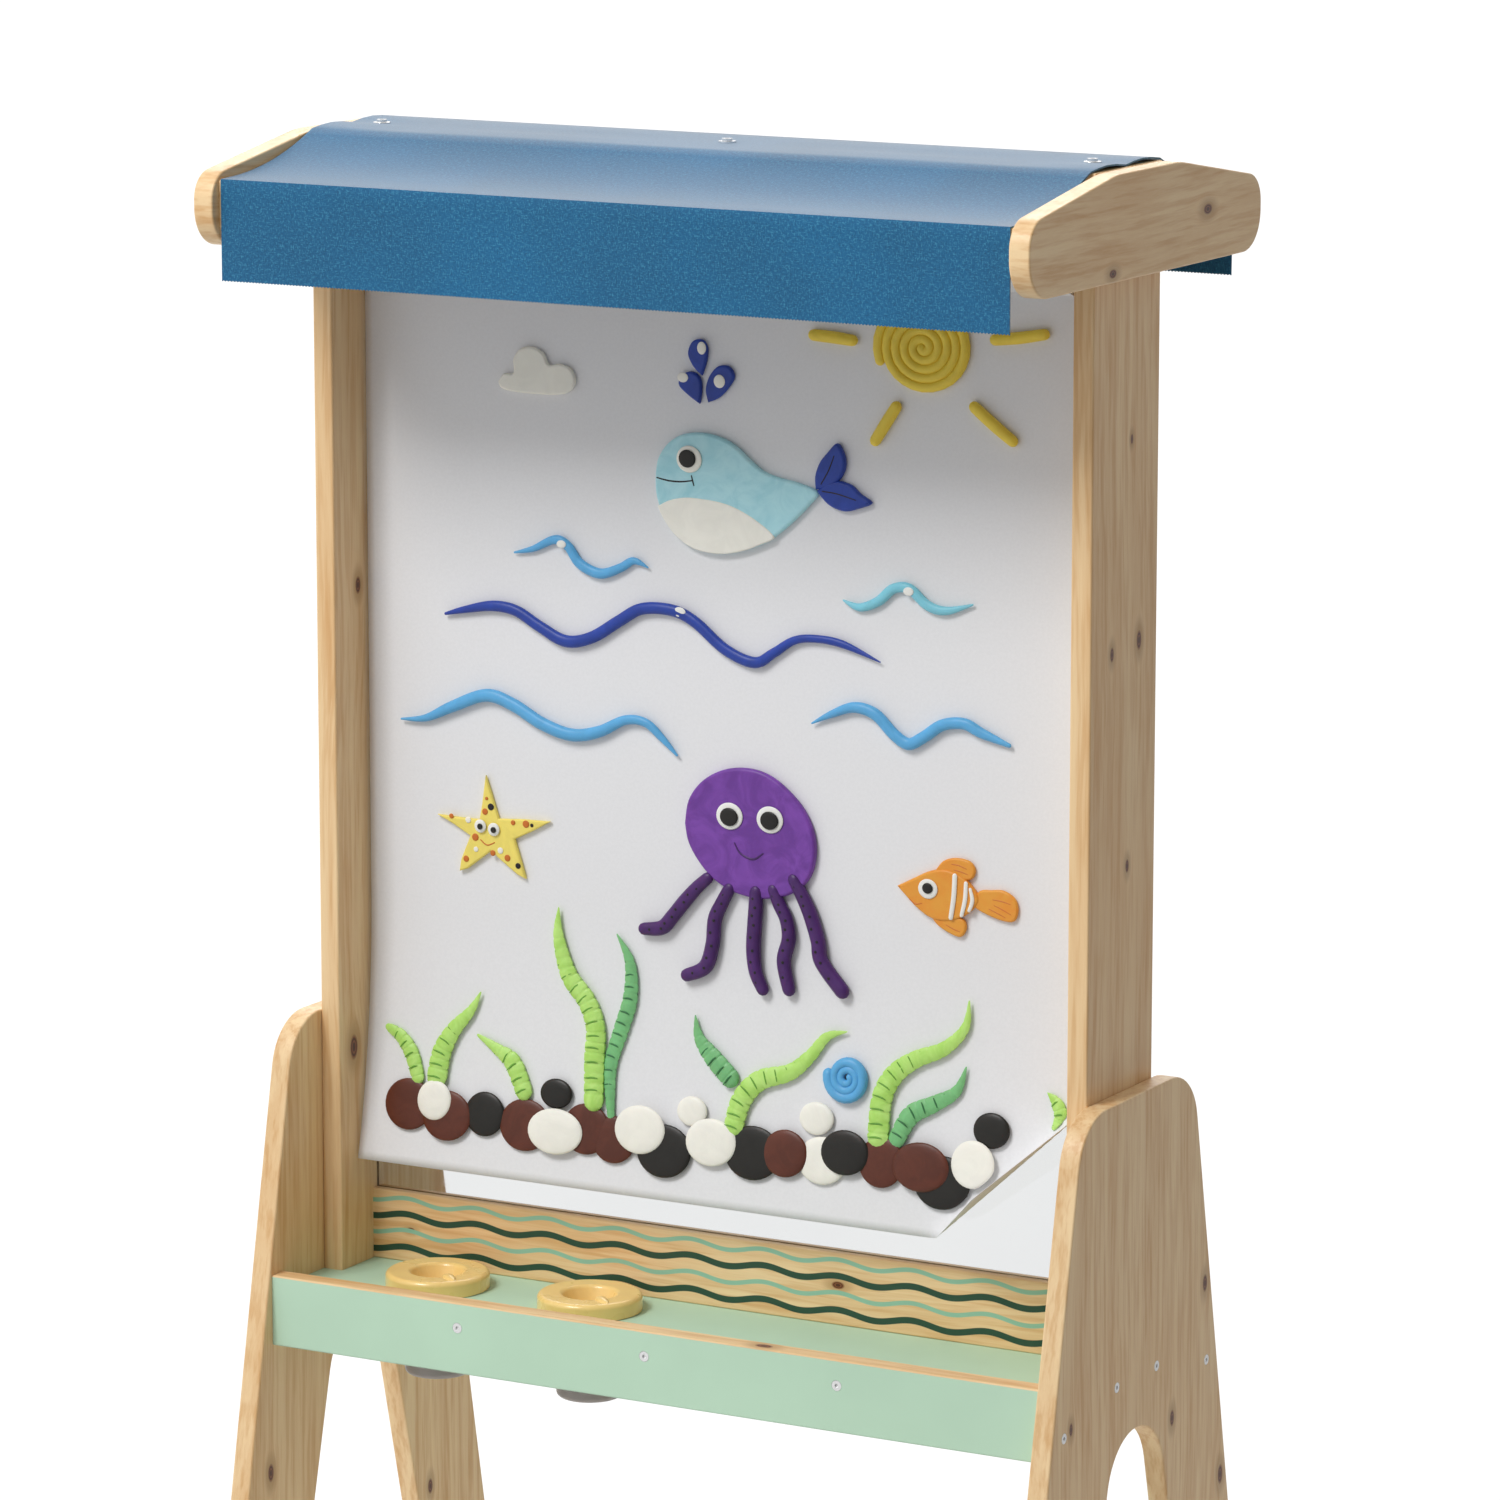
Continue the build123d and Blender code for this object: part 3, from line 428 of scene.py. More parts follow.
def zinc(name, colour, roughness):
    """Plated steel with faint turning marks."""
    material, tree, shader = new_material(name, roughness, Metallic=0.75)
    marks = grains(tree, place(tree), 2600, 2.0)
    coloured(tree, shader, tint(tree, marks, shade(colour, 0.9), colour))
    roughened(tree, shader, marks, roughness * 0.8, roughness * 1.3)
    return material


def white_paper(name, rings=False):
    """Uncoated drawing paper; with rings it shows its wound edge as darker rings, painted shade between the
    wound layers.
    """
    colours = bpy.context.scene.easel_colours
    material, tree, shader = new_material(name, 0.85, Specular_IOR_Level=0.15)
    paper = tuple(colours.paper)
    pulp = grains(tree, place(tree), 420, 4.0, 0.65)
    tone = tint(tree, step(tree, pulp, 0.3, 0.7), shade(paper, 0.965), paper)
    if rings:
        # The darker rings on the roll's cut end are painted shade in the gaps between the wound layers.
        apart = add_node(tree, "SeparateXYZ", {0: place(tree)}).outputs
        side = calc(tree, "SUBTRACT", apart["Y"], ROLL_Y)
        up = calc(tree, "SUBTRACT", apart["Z"], ROLL_Z)
        squares = calc(tree, "ADD", calc(tree, "POWER", side, 2), calc(tree, "POWER", up, 2))
        radius = calc(tree, "SQRT", squares)
        layer = calc(tree, "SINE", calc(tree, "MULTIPLY", radius, math.tau / mm(0.8)))
        end = step(tree, calc(tree, "ABSOLUTE", apart["X"]), ROLL_HIGH.x - mm(0.4), ROLL_HIGH.x - mm(0.1))
        layer = calc(tree, "MULTIPLY", step(tree, layer, 0.2, 1.0), end)
        tone = tint(tree, calc(tree, "MULTIPLY", layer, 0.35), tone, shade(paper, 0.6))
    coloured(tree, shader, tone)
    bumped(tree, shader, pulp, 0.18, mm(0.12))
    return material


def grey_board(name):
    """The rolled cardboard of the paper's core."""
    material, tree, shader = new_material(name, 0.9)
    pulp = grains(tree, stretched(tree, place(tree), (0.4, 1, 1)), 260, 4.0, 0.7)
    coloured(tree, shader, tint(tree, pulp, seen(135, 104, 76), seen(186, 152, 116)))
    bumped(tree, shader, pulp, 0.3, mm(0.2))
    return material


def lid_plastic(name):
    """Glossy moulded plastic with a faint flow pattern."""
    colours = bpy.context.scene.easel_colours
    material, tree, shader = new_material(name, 0.28, Coat_Weight=0.35, Coat_Roughness=0.12)
    lid = tuple(colours.lid)
    flow = grains(tree, place(tree), 30, 2.0, 0.4, 0.6)
    coloured(tree, shader, tint(tree, step(tree, flow, 0.3, 0.7), shade(lid, 0.95), shade(lid, 1.03)))
    roughened(tree, shader, grains(tree, place(tree), 45, 2.0), 0.26, 0.32)
    return material


def cup_plastic(name):
    """Cloudy see-through plastic."""
    material, tree, shader = new_material(name, 0.35, Transmission_Weight=0.55, IOR=1.45)
    cloud = grains(tree, place(tree), 55, 3.0)
    coloured(tree, shader, tint(tree, cloud, seen(190, 180, 176), seen(214, 206, 202)))
    roughened(tree, shader, cloud, 0.28, 0.42)
    return material


# ---------------------------------------------------------------- cloth and clay
def canopy_cloth(name):
    """Plain-woven cloth of mixed light and dark blue threads."""
    colours = bpy.context.scene.easel_colours
    material, tree, shader = new_material(
        name, 0.7, Sheen_Weight=0.72, Sheen_Roughness=0.4, Specular_IOR_Level=0.4
    )
    base = tuple(colours.canopy)
    fleck = tuple(colours.canopy_fleck)
    weave_uv = add_node(tree, "UVMap", uv_map="UVMap").outputs["UV"]
    warp = grains(tree, stretched(tree, weave_uv, (1.0, 0.35, 1.0)), 980, 2.0, 0.6)
    weft = grains(tree, stretched(tree, weave_uv, (0.35, 1.0, 1.0)), 980, 2.0, 0.6)
    threads = calc(tree, "MAXIMUM", warp, weft)
    flecks = step(tree, threads, 0.52, 0.74)
    cloud = step(tree, grains(tree, weave_uv, 7, 2.0), 0.3, 0.7)
    ground = tint(tree, cloud, shade(base, 0.88), shade(base, 1.1))
    tone = tint(tree, calc(tree, "MULTIPLY", flecks, 0.62), ground, fleck)
    dark = step(tree, calc(tree, "MINIMUM", warp, weft), 0.3, 0.44, 0.45, 0.0)
    coloured(tree, shader, tint(tree, dark, tone, shade(base, 0.45)))
    bumped(tree, shader, threads, 0.5, mm(0.3))
    return material


def clay(name, colour, mottle, smear=None):
    """Kneaded clay: finger-smoothed, with faint smears and dents."""
    material, tree, shader = new_material(
        name, 0.42, Specular_IOR_Level=0.4, Subsurface_Weight=0.04
    )
    smears = grains(tree, place(tree), 38, 4.0, 0.6, 1.8)
    smear = smear or shade(colour, 1 + mottle)
    coloured(tree, shader, tint(tree, step(tree, smears, 0.3, 0.7), shade(colour, 1 - mottle), smear))
    dents = grains(tree, place(tree), 150, 4.0, 0.6, 0.8)
    bumped(tree, shader, dents, 0.32, mm(0.6))
    return material


def clay_colours():
    """Every clay by its name, from its colour, its mottling and the colour of its smears."""
    tones = {
        "cream": ((245, 241, 230), 0.03, None),
        "white": ((240, 238, 232), 0.03, None),
        "navy": ((38, 66, 158), 0.10, None),
        "sky": ((92, 170, 220), 0.06, None),
        "pale_sky": ((128, 202, 220), 0.06, None),
        "aqua": ((166, 222, 233), 0.05, seen(184, 230, 238)),
        "yellow": ((240, 210, 74), 0.05, None),
        "lemon": ((244, 222, 110), 0.05, None),
        "orange": ((238, 164, 62), 0.06, seen(232, 146, 50)),
        "rust": ((206, 112, 40), 0.05, None),
        "purple": ((112, 58, 156), 0.12, seen(126, 70, 170)),
        "plum": ((72, 34, 100), 0.14, None),
        "leaf": ((176, 226, 104), 0.07, seen(192, 234, 128)),
        "green": ((120, 188, 124), 0.10, None),
        # The two darker greens are laid in the cuts of the seaweed: painted shade of the cuts.
        "notch_shade_leaf": ((104, 160, 56), 0.1, None),
        "notch_shade_green": ((52, 112, 66), 0.1, None),
        "brown": ((92, 44, 29), 0.14, None),
        "black": ((30, 28, 24), 0.12, None),
        # pit is near-black clay laid in pits and pressed lines: painted shade of those hollows.
        "pit_shade": ((30, 22, 26), 0.10, None),
    }
    return {
        name: clay(f"clay_{name}", seen(*tone), mottle, smear)
        for name, (tone, mottle, smear) in tones.items()
    }


# ---------------------------------------------------------------- modelling helpers
def only(piece):
    """Select this piece alone and make it active."""
    bpy.ops.object.select_all(action="DESELECT")
    piece.select_set(True)
    bpy.context.view_layer.objects.active = piece


def start():
    """Nothing selected, ready for a new primitive."""
    if bpy.context.mode != "OBJECT":
        bpy.ops.object.mode_set(mode="OBJECT")
    bpy.ops.object.select_all(action="DESELECT")


def settle(piece, smooth=35):
    """Put the piece's place into its mesh and shade it."""
    only(piece)
    bpy.ops.object.transform_apply(location=True, rotation=True, scale=True)
    bpy.ops.object.shade_smooth_by_angle(angle=math.radians(smooth))
    return piece


def apply_modifiers(piece):
    """Apply every modifier on the piece."""
    only(piece)
    for modifier in list(piece.modifiers):
        bpy.ops.object.modifier_apply(modifier=modifier.name)


def dress(piece, name, material, body="frame", stands_for=()):
    """Name a finished piece, give it its finish, and fix it to its body."""
    piece.name = name
    piece.data.name = name
    piece.data.materials.clear()
    piece.data.materials.append(material)
    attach(piece, body)
    if stands_for:
        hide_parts(*stands_for)
    return piece


def finish_node(names, material):
    """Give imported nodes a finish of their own."""
    for name in names:
        slots = NODES[name].data.materials
        slots.clear()
        slots.append(material)


def lay_down(piece):
    """Move a piece that was made on the plane Y = 0 onto the front of the paper."""
    for vertex in piece.data.vertices:
        vertex.co = over_sheet(vertex.co.x, vertex.co.z, PAPER_GAP - vertex.co.y)
    piece.data.update()


def grid_mesh(name, columns, rows, point, uv):
    """A sheet from a grid of points, with a UV map in metres."""
    places = [point(i, j) for j in range(rows + 1) for i in range(columns + 1)]
    wide = columns + 1
    faces = [
        (j * wide + i, j * wide + i + 1, (j + 1) * wide + i + 1, (j + 1) * wide + i)
        for j in range(rows)
        for i in range(columns)
    ]
    mesh = bpy.data.meshes.new(name)
    mesh.from_pydata(places, [], faces)
    layer = mesh.uv_layers.new(name="UVMap")
    for loop in mesh.loops:
        j, i = divmod(loop.vertex_index, wide)
        layer.data[loop.index].uv = uv(i, j)
    mesh.update()
    piece = bpy.data.objects.new(name, mesh)
    bpy.context.scene.collection.objects.link(piece)
    return piece


def flowing(points, samples):
    """Points on a smooth line through the given ones, evenly shared between them."""
    line = []
    last = len(points) - 1
    for i in range(last):
        around = (i - 1, i, i + 1, i + 2)
        before, here, there, beyond = (Vector(points[min(max(k, 0), last)]) for k in around)
        for k in range(samples):
            t = k / samples
            line.append(
                0.5 * (2 * here + (there - before) * t + (2 * before - 5 * here + 4 * there - beyond) * t * t
                       + (3 * here - before - 3 * there + beyond) * t**3)
            )
    line.append(Vector(points[last]))
    return line


def made_mesh(name, curve):
    """A new mesh object from a curve."""
    piece = bpy.data.objects.new(name, curve)
    bpy.context.scene.collection.objects.link(piece)
    only(piece)
    bpy.ops.object.convert(target="MESH")
    return bpy.context.view_layer.objects.active


NOTCH_PITCH = 7.5  # millimetres between the cuts of a narrow blade
ROUND_END = ((0.5, 0.86), (0.85, 0.52), (1.0, 0.08))  # reach and width of a string's end, in half widths


def rolled(points, widths, flat=0.62, notch=0.0, samples=8, blunt=True):
    """A rolled string of clay through (X, Z) points in millimetres, flattened onto its back.

    widths are half widths at the points; notch sinks a cut across it every few millimetres.
    """
    line = flowing([(x, z, w) for (x, z), w in zip(points, widths)], samples)
    run = 0.0
    beads = []
    for i, (x, z, half) in enumerate(line):
        if i:
            run += math.hypot(x - line[i - 1][0], z - line[i - 1][1])
        if notch:
            pitch = max(NOTCH_PITCH, 0.9 * widths[-1])
            half *= 1 - notch * max(0.0, math.cos(run / pitch * math.tau)) ** 6
        beads.append([x, z, max(half, 0.25)])
    for end, inner in ((0, 1), (-1, -2)):
        x, z, half = beads[end]
        away = Vector((x - beads[inner][0], z - beads[inner][1])).normalized()
        caps = [
            [x + away.x * half * reach, z + away.y * half * reach, half * width]
            for reach, width in (ROUND_END if blunt else ROUND_END[-1:])
        ]
        if end:
            beads.extend(caps)
        else:
            beads = caps[::-1] + beads
    start()
    data = bpy.data.curves.new("clay_string", "CURVE")
    data.dimensions = "3D"
    data.bevel_depth = mm(1)
    data.bevel_resolution = 3
    data.use_fill_caps = True
    spline = data.splines.new("POLY")
    spline.points.add(len(beads) - 1)
    for bead, (x, z, half) in zip(spline.points, beads):
        bead.co = (mm(x), 0, mm(z), 1)
        bead.radius = half
    piece = made_mesh("clay_string", data)
    for vertex in piece.data.vertices:
        vertex.co.y *= flat
    low = max(vertex.co.y for vertex in piece.data.vertices)
    for vertex in piece.data.vertices:
        vertex.co.y -= low * 0.92
        vertex.co.y = min(vertex.co.y, 0.0)
    return piece


def plate(outline, thickness, rim=1.4, closed_smooth=True):
    """A patted-out piece of clay with a rounded rim, from (X, Z) points in millimetres."""
    start()
    data = bpy.data.curves.new("clay_plate", "CURVE")
    data.dimensions = "2D"
    data.fill_mode = "BOTH"
    data.bevel_depth = mm(rim)
    data.bevel_resolution = 3
    data.offset = -mm(rim)
    data.extrude = mm(max(thickness / 2 - rim, 0.05))
    spline = data.splines.new("POLY")
    ring = outline
    if closed_smooth:
        ring = [tuple(p) for p in flowing(list(outline) + [outline[0]], 5)[:-1]]
    spline.points.add(len(ring) - 1)
    for corner, (x, z) in zip(spline.points, ring):
        corner.co = (mm(x), mm(z), 0, 1)
    spline.use_cyclic_u = True
    piece = made_mesh("clay_plate", data)
    piece.rotation_euler = (math.pi / 2, 0, 0)
    piece.location = (0, mm(-thickness / 2), 0)
    settle(piece)
    return piece


def button(x, z, half_x, half_z, thickness, flatness=3.2):
    """A pressed ball of clay: a dome with a full, rounded rim."""
    start()
    bpy.ops.mesh.primitive_uv_sphere_add(segments=32, ring_count=16, radius=1, location=(0, 0, 0))
    piece = bpy.context.object
    for vertex in piece.data.vertices:
        a, b, c = vertex.co
        spread = min(1.0, math.hypot(a, b))
        full = (1 - spread**flatness) ** 0.5 * math.copysign(1, c) if abs(c) > 1e-6 else 0.0
        vertex.co = (mm(x + a * half_x), mm(-(full * 0.5 + 0.5) * thickness), mm(z + b * half_z))
    flip_normals_out(piece)
    return piece


def flip_normals_out(piece):
    """Merge the poles and point every face outwards."""
    only(piece)
    bpy.ops.object.mode_set(mode="EDIT")
    bpy.ops.mesh.select_all(action="SELECT")
    bpy.ops.mesh.remove_doubles(threshold=1e-6)
    bpy.ops.mesh.normals_make_consistent(inside=False)
    bpy.ops.object.mode_set(mode="OBJECT")


def put_on_paper(piece, name, clay_name, stands_for=(), lift=0.0):
    """Finish a clay piece: lift it over what lies under it and bend it to the paper."""
    if lift:
        for vertex in piece.data.vertices:
            vertex.co.y -= mm(lift)
    lay_down(piece)
    settle(piece, 50)
    return dress(piece, name, CLAYS[clay_name], "frame", stands_for)


CLAYS = {}  # filled by main, once the settings exist


def crease(points, widths, name, clay_name, lift, samples=4, blunt=True):
    """Lay a thin line of clay on top of a piece."""
    line = rolled(points, widths, 0.6, samples=samples, blunt=blunt)
    put_on_paper(line, name, clay_name, lift=lift)


def press_eye(owner, number, ball, pupil, lifts, tone="white", stands_for=(), flatness=3.2):
    """Press an eyeball and its pupil onto an animal; each is given as for button."""
    eye = button(*ball, flatness=flatness)
    put_on_paper(eye, f"clay_{owner}_eye{number}", tone, stands_for, lifts[0])
    put_on_paper(button(*pupil), f"clay_{owner}_pupil{number}", "black", lift=lifts[1])


def spiral(centre, inner, outer, first, turns, steps, wide=1.0, high=1.0):
    """Points of a coil from its middle outwards; turns below nought wind it clockwise."""
    points = []
    for k in range(steps + 1):
        share = k / steps
        out = inner + (outer - inner) * share
        angle = math.radians(first) + turns * share * math.tau
        points.append((centre[0] + out * math.cos(angle) * wide, centre[1] + out * math.sin(angle) * high))
    return points


# ---------------------------------------------------------------- operators
def knots_on(x, *marks):
    """Knots on the face at x, each from its Y, Z and radius in millimetres."""
    return tuple(((x, mm(y), mm(z)), mm(radius)) for y, z, radius in marks)


class EASEL_OT_wood(bpy.types.Operator):
    """Give the boards, rails and pegs their wood."""

    bl_idname = "easel.wood"
    bl_label = "Wood"

    def execute(self, context):
        face = LEG_HIGH.x
        side = UPRIGHT_HIGH.x
        right_leg = knots_on(
            face, (111.8, 453.4, 3.2), (58.8, 365.6, 3.0), (-105.4, 398.7, 2.4), (141.8, 302.0, 3.6)
        )
        left_leg = knots_on(-side, (-129.0, 279.4, 3.4), (96, 210, 3.0)) + knots_on(-face, (40, 530, 3.6))
        right_upright = knots_on(
            side, (-19.3, 933.5, 2.6), (23.7, 937.6, 3.4), (8.2, 778.7, 2.4), (9.1, 1081.6, 1.8)
        )
        left_upright = knots_on(-UPRIGHT_INSIDE, (-20.2, 933.7, 3.2), (-32.6, 586.4, 4.6))
        left_upright += knots_on(-side, (12, 820, 3.4))
        gable = knots_on(face, (94.4, 1234.7, 3.4), (-56.5, 1204.6, 2.8)) + knots_on(-face, (-70, 1228, 3.0))
        finish_node(["right_leg_panel"], pine("pine_right_leg", ALONG_Z, 1, right_leg))
        finish_node(["left_leg_panel"], pine("pine_left_leg", ALONG_Z, 2, left_leg))
        finish_node(["right_upright"], pine("pine_right_upright", ALONG_Z, 4, right_upright))
        finish_node(["left_upright"], pine("pine_left_upright", ALONG_Z, 6, left_upright))
        finish_node(["left_gable", "right_gable"], pine("pine_gable", GABLE_GRAIN, 8, gable))
        rails = ["roof_board", "front_roof_rail", "rear_roof_rail", "upper_rail"]
        finish_node(rails, pine("pine_rail", ALONG_X, 9))
        finish_node(["wave_rail"], printed_rail("pine_wave_rail"))
        finish_node(["front_apron", "rear_apron"], painted_board("mint_apron", APRON_HIGH.z, True))
        finish_node(["tray_floor"], painted_board("mint_tray", TRAY_HIGH.z, False))
        pegs = ["upright_pegs", "upper_rail_pegs", "roof_rail_pegs", "roll_dowel"]
        finish_node(pegs, beech("beech"))
        return {"FINISHED"}


class EASEL_OT_fittings(bpy.types.Operator):
    """Give the screws, washers, acrylic panel, core and roll their finishes."""

    bl_idname = "easel.fittings"
    bl_label = "Fittings"

    def execute(self, context):
        sunk = ["leg_panel_screws", "apron_screws", "gable_screws", "roof_board_screws", "wave_rail_screws"]
        finish_node(sunk, zinc("zinc_screws", (0.95, 0.95, 0.95), 0.5))
        caps = zinc("polished_caps", (0.9, 0.9, 0.9), 0.12)
        finish_node(["canopy_screws", "canopy_washers"], caps)
        finish_node(["acrylic_panel"], acrylic("clear_acrylic"))
        finish_node(["cardboard_core"], grey_board("core_board"))
        finish_node(["paper_roll"], white_paper("wound_paper", rings=True))
        return {"FINISHED"}


TONGUE_TURN = math.radians(-38)  # where the finger tongue stands on the lid
TONGUE_REACH = 26  # millimetres from the lid's middle to the tongue's
TONGUE_HALF_LENGTH = 9.5
TONGUE_HALF_WIDTH = 4.2
TONGUE_HEIGHT = 2.7
TONGUE_SUNK = mm(0.4)


class EASEL_OT_cups(bpy.types.Operator):
    """Finish the paint cups and their lids."""

    bl_idname = "easel.cups"
    bl_label = "Paint cups"

    def execute(self, context):
        finish_node(["left_cup", "right_cup"], cup_plastic("cup_plastic"))
        plastic = lid_plastic("lid_plastic")
        finish_node(["left_cup_lid", "right_cup_lid"], plastic)
        for side in ("left", "right"):
            low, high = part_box(f"{side}_cup_lid")
            centre = (low + high) / 2
            start()
            bpy.ops.mesh.primitive_uv_sphere_add(segments=28, ring_count=14, radius=1, location=(0, 0, 0))
            tongue = context.object
            for vertex in tongue.data.vertices:
                a, b, c = vertex.co
                out = mm(TONGUE_REACH + TONGUE_HALF_LENGTH * a)
                across = mm(TONGUE_HALF_WIDTH * b * (1 - 0.45 * a))
                rise = mm(TONGUE_HEIGHT * max(c, -0.4) * (1 - 0.25 * a))
                vertex.co = (
                    centre.x + out * math.cos(TONGUE_TURN) - across * math.sin(TONGUE_TURN),
                    centre.y + out * math.sin(TONGUE_TURN) + across * math.cos(TONGUE_TURN),
                    high.z - TONGUE_SUNK + rise,
                )
            settle(tongue, 60)
            dress(tongue, f"{side}_lid_tongue", plastic, f"{side}_cup_lid")
        return {"FINISHED"}


class EASEL_OT_canopy(bpy.types.Operator):
    """Stretch the canopy over the roof as one sheet of cloth."""

    bl_idname = "easel.canopy"
    bl_label = "Canopy"

    def execute(self, context):
        sizes = context.scene.easel_sizes
        eave = CANOPY_HIGH.y
        top = CANOPY_HIGH.z

        def slope(side, share):
            """A point of the sagging slope, from the crease (0) to the eave (1)."""
            y = CANOPY_CREASE + (eave - CANOPY_CREASE) * share
            z = top + (CANOPY_EAVE_Z - top) * share - 4 * CANOPY_SAG * share * (1 - share)
            return (side * y, z)

        def valance(y, hem):
            """The points of a hanging edge, from its hem up to the bend at the eave."""
            rise = CANOPY_EAVE_Z - CANOPY_EAVE_BEND - hem
            return [(y, hem + rise * k / VALANCE_STEPS) for k in range(VALANCE_STEPS + 1)]

        profile = valance(-eave, CANOPY_LOW.z)
        profile.append((-eave + mm(0.5), CANOPY_EAVE_Z - mm(0.4)))
        profile += [slope(-1, k / SLOPE_STEPS) for k in range(SLOPE_STEPS - 1, -1, -1)]
        profile += [(mm(14 * k), top) for k in range(-3, 4)]
        profile += [slope(1, k / SLOPE_STEPS) for k in range(SLOPE_STEPS)]
        profile.append((eave - mm(0.5), CANOPY_EAVE_Z - mm(0.4)))
        profile += reversed(valance(eave, CANOPY_REAR_HEM))
        reach = [0.0]
        for first, second in zip(profile, profile[1:]):
            reach.append(reach[-1] + math.dist(first, second))
        rows = len(profile) - 1
        columns = 2 * round((CANOPY_HIGH.x - CANOPY_LOW.x) / HEM_TOOTH)

        def point(i, j):
            """A point of the cloth, with its waving hems, its dome and its creases."""
            x = CANOPY_LOW.x + (CANOPY_HIGH.x - CANOPY_LOW.x) * i / columns
            y, z = profile[j]
            hang = 0.0
            if abs(y) > eave - mm(1):
                hang = max(0.0, (CANOPY_EAVE_Z - z) / (CANOPY_EAVE_Z - CANOPY_LOW.z))
            y -= math.copysign(1, y) * sizes.hem_wave * hang * (1 + math.sin(x * 19 + y * 7))
            if j in (0, rows) and i % 2:
                z += HEM_TOOTH_DEPTH
            if mm(1) < abs(y) < CANOPY_CREASE:
                across = math.sin(math.pi * abs(y) / CANOPY_CREASE)
                between = math.sin(x / CANOPY_FIXINGS * math.pi) ** 2 * 0.4
                between += max(0.0, abs(x) - mm(250)) / mm(65)
                z += sizes.canopy_dome * across * between
            if CANOPY_CREASE < abs(y) < eave - mm(2):
                z += noise.noise(Vector((x * 6, y * 9, 3.3))) * mm(0.6)
            return (x, y, z)

        cloth = grid_mesh("canopy", columns, rows, point, lambda i, j: (i * HEM_TOOTH / 2, reach[j]))
        only(cloth)
        thick = cloth.modifiers.new("thickness", "SOLIDIFY")
        thick.thickness = CANOPY_CLOTH
        thick.offset = -1
        apply_modifiers(cloth)
        bpy.ops.object.shade_smooth_by_angle(angle=math.radians(24))
        dress(cloth, "canopy", canopy_cloth("canopy_cloth"), "frame", ["canopy_cover"])
        return {"FINISHED"}


class EASEL_OT_paper(bpy.types.Operator):
    """Hang the paper in front of the panel, with its lower corner curling forward."""

    bl_idname = "easel.paper"
    bl_label = "Hanging paper"

    def execute(self, context):
        half = PAPER_HIGH.x
        columns = 92
        rows = 110

        def point(i, j):
            x = -half + 2 * half * i / columns
            z = ROLL_Z + (PAPER_HEM - ROLL_Z) * j / rows
            ripple = noise.noise(Vector((x * 3.1, z * 1.3, 0.7))) * mm(0.5)
            return over_sheet(x, z, min(-ripple, mm(0.2)) * 0.5)

        def uv(i, j):
            return (2 * half * i / columns, (ROLL_Z - PAPER_HEM) * j / rows)

        paper = grid_mesh("hanging_paper", columns, rows, point, uv)
        only(paper)
        thick = paper.modifiers.new("thickness", "SOLIDIFY")
        thick.thickness = PAPER_SKIN
        thick.offset = -1
        apply_modifiers(paper)
        bpy.ops.object.shade_smooth()
        dress(paper, "hanging_paper", white_paper("drawing_paper"), "frame", ["paper_sheet"])
        return {"FINISHED"}


class EASEL_OT_clay_sky(bpy.types.Operator):
    """Model the cloud, the water drops and the sun."""

    bl_idname = "easel.clay_sky"
    bl_label = "Clay sky"

    def execute(self, context):
        cloud = [
            (-184, 1092), (-179, 1098), (-171, 1099), (-171, 1109), (-165, 1117), (-155, 1119),
            (-146, 1115), (-141, 1107), (-132, 1108), (-123, 1105), (-119, 1096), (-124, 1088),
            (-136, 1085), (-152, 1084.5), (-170, 1085), (-181, 1087),
        ]
        put_on_paper(plate(cloud, 4.0, 1.8), "clay_cloud_puff", "cream", ["clay_cloud"])

        drops = (
            (
                [
                    (-14, 1107), (-21, 1113), (-25.5, 1122), (-22, 1131), (-14, 1133), (-9.5, 1127),
                    (-10.5, 1117),
                ],
                (-13.5, 1127, 3.6, 4.6),
            ),
            (
                [
                    (-16, 1086.5), (-25, 1092), (-33, 1099), (-31, 1106), (-23, 1109.5), (-15.5, 1105),
                    (-14.5, 1095),
                ],
                (-29, 1105, 4.4, 3.6),
            ),
            (
                [
                    (-9, 1088), (-11, 1097), (-8, 1107), (-1, 1114.5), (8, 1115), (12.5, 1108),
                    (8, 1100), (0, 1092),
                ],
                (1, 1104, 4.6, 4.8),
            ),
        )
        for number, (outline, (x, z, wide, high)) in enumerate(drops, 1):
            stands_for = ["clay_drops"] if number == 1 else ()
            put_on_paper(plate(outline, 4.0, 1.7), f"clay_drop_{number}", "navy", stands_for)
            spot = button(x, z, wide, high, 1.4)
            put_on_paper(spot, f"clay_drop_spot_{number}", "cream", lift=3.6)

        turns = context.scene.easel_sizes.sun_turns
        coil = spiral((164.5, 1138.5), 1.6, 36.2, 200, turns, 26 * turns, 1.02, 0.92)
        sun = rolled(coil, [3.75] * len(coil), 0.8, samples=1)
        put_on_paper(sun, "clay_sun_coil", "yellow", ["clay_sun"])
        rays = (
            [(77, 1142), (92, 1141.3), (108, 1140)],
            [(221, 1147.5), (240, 1150), (259, 1153.5)],
            [(143, 1095), (135, 1083), (126.5, 1070)],
            [(205, 1099), (220, 1087.5), (235, 1077)],
        )
        for number, ray in enumerate(rays, 1):
            put_on_paper(rolled(ray, [4.3, 4.5, 4.2], 0.75), f"clay_sun_ray_{number}", "yellow")
        return {"FINISHED"}


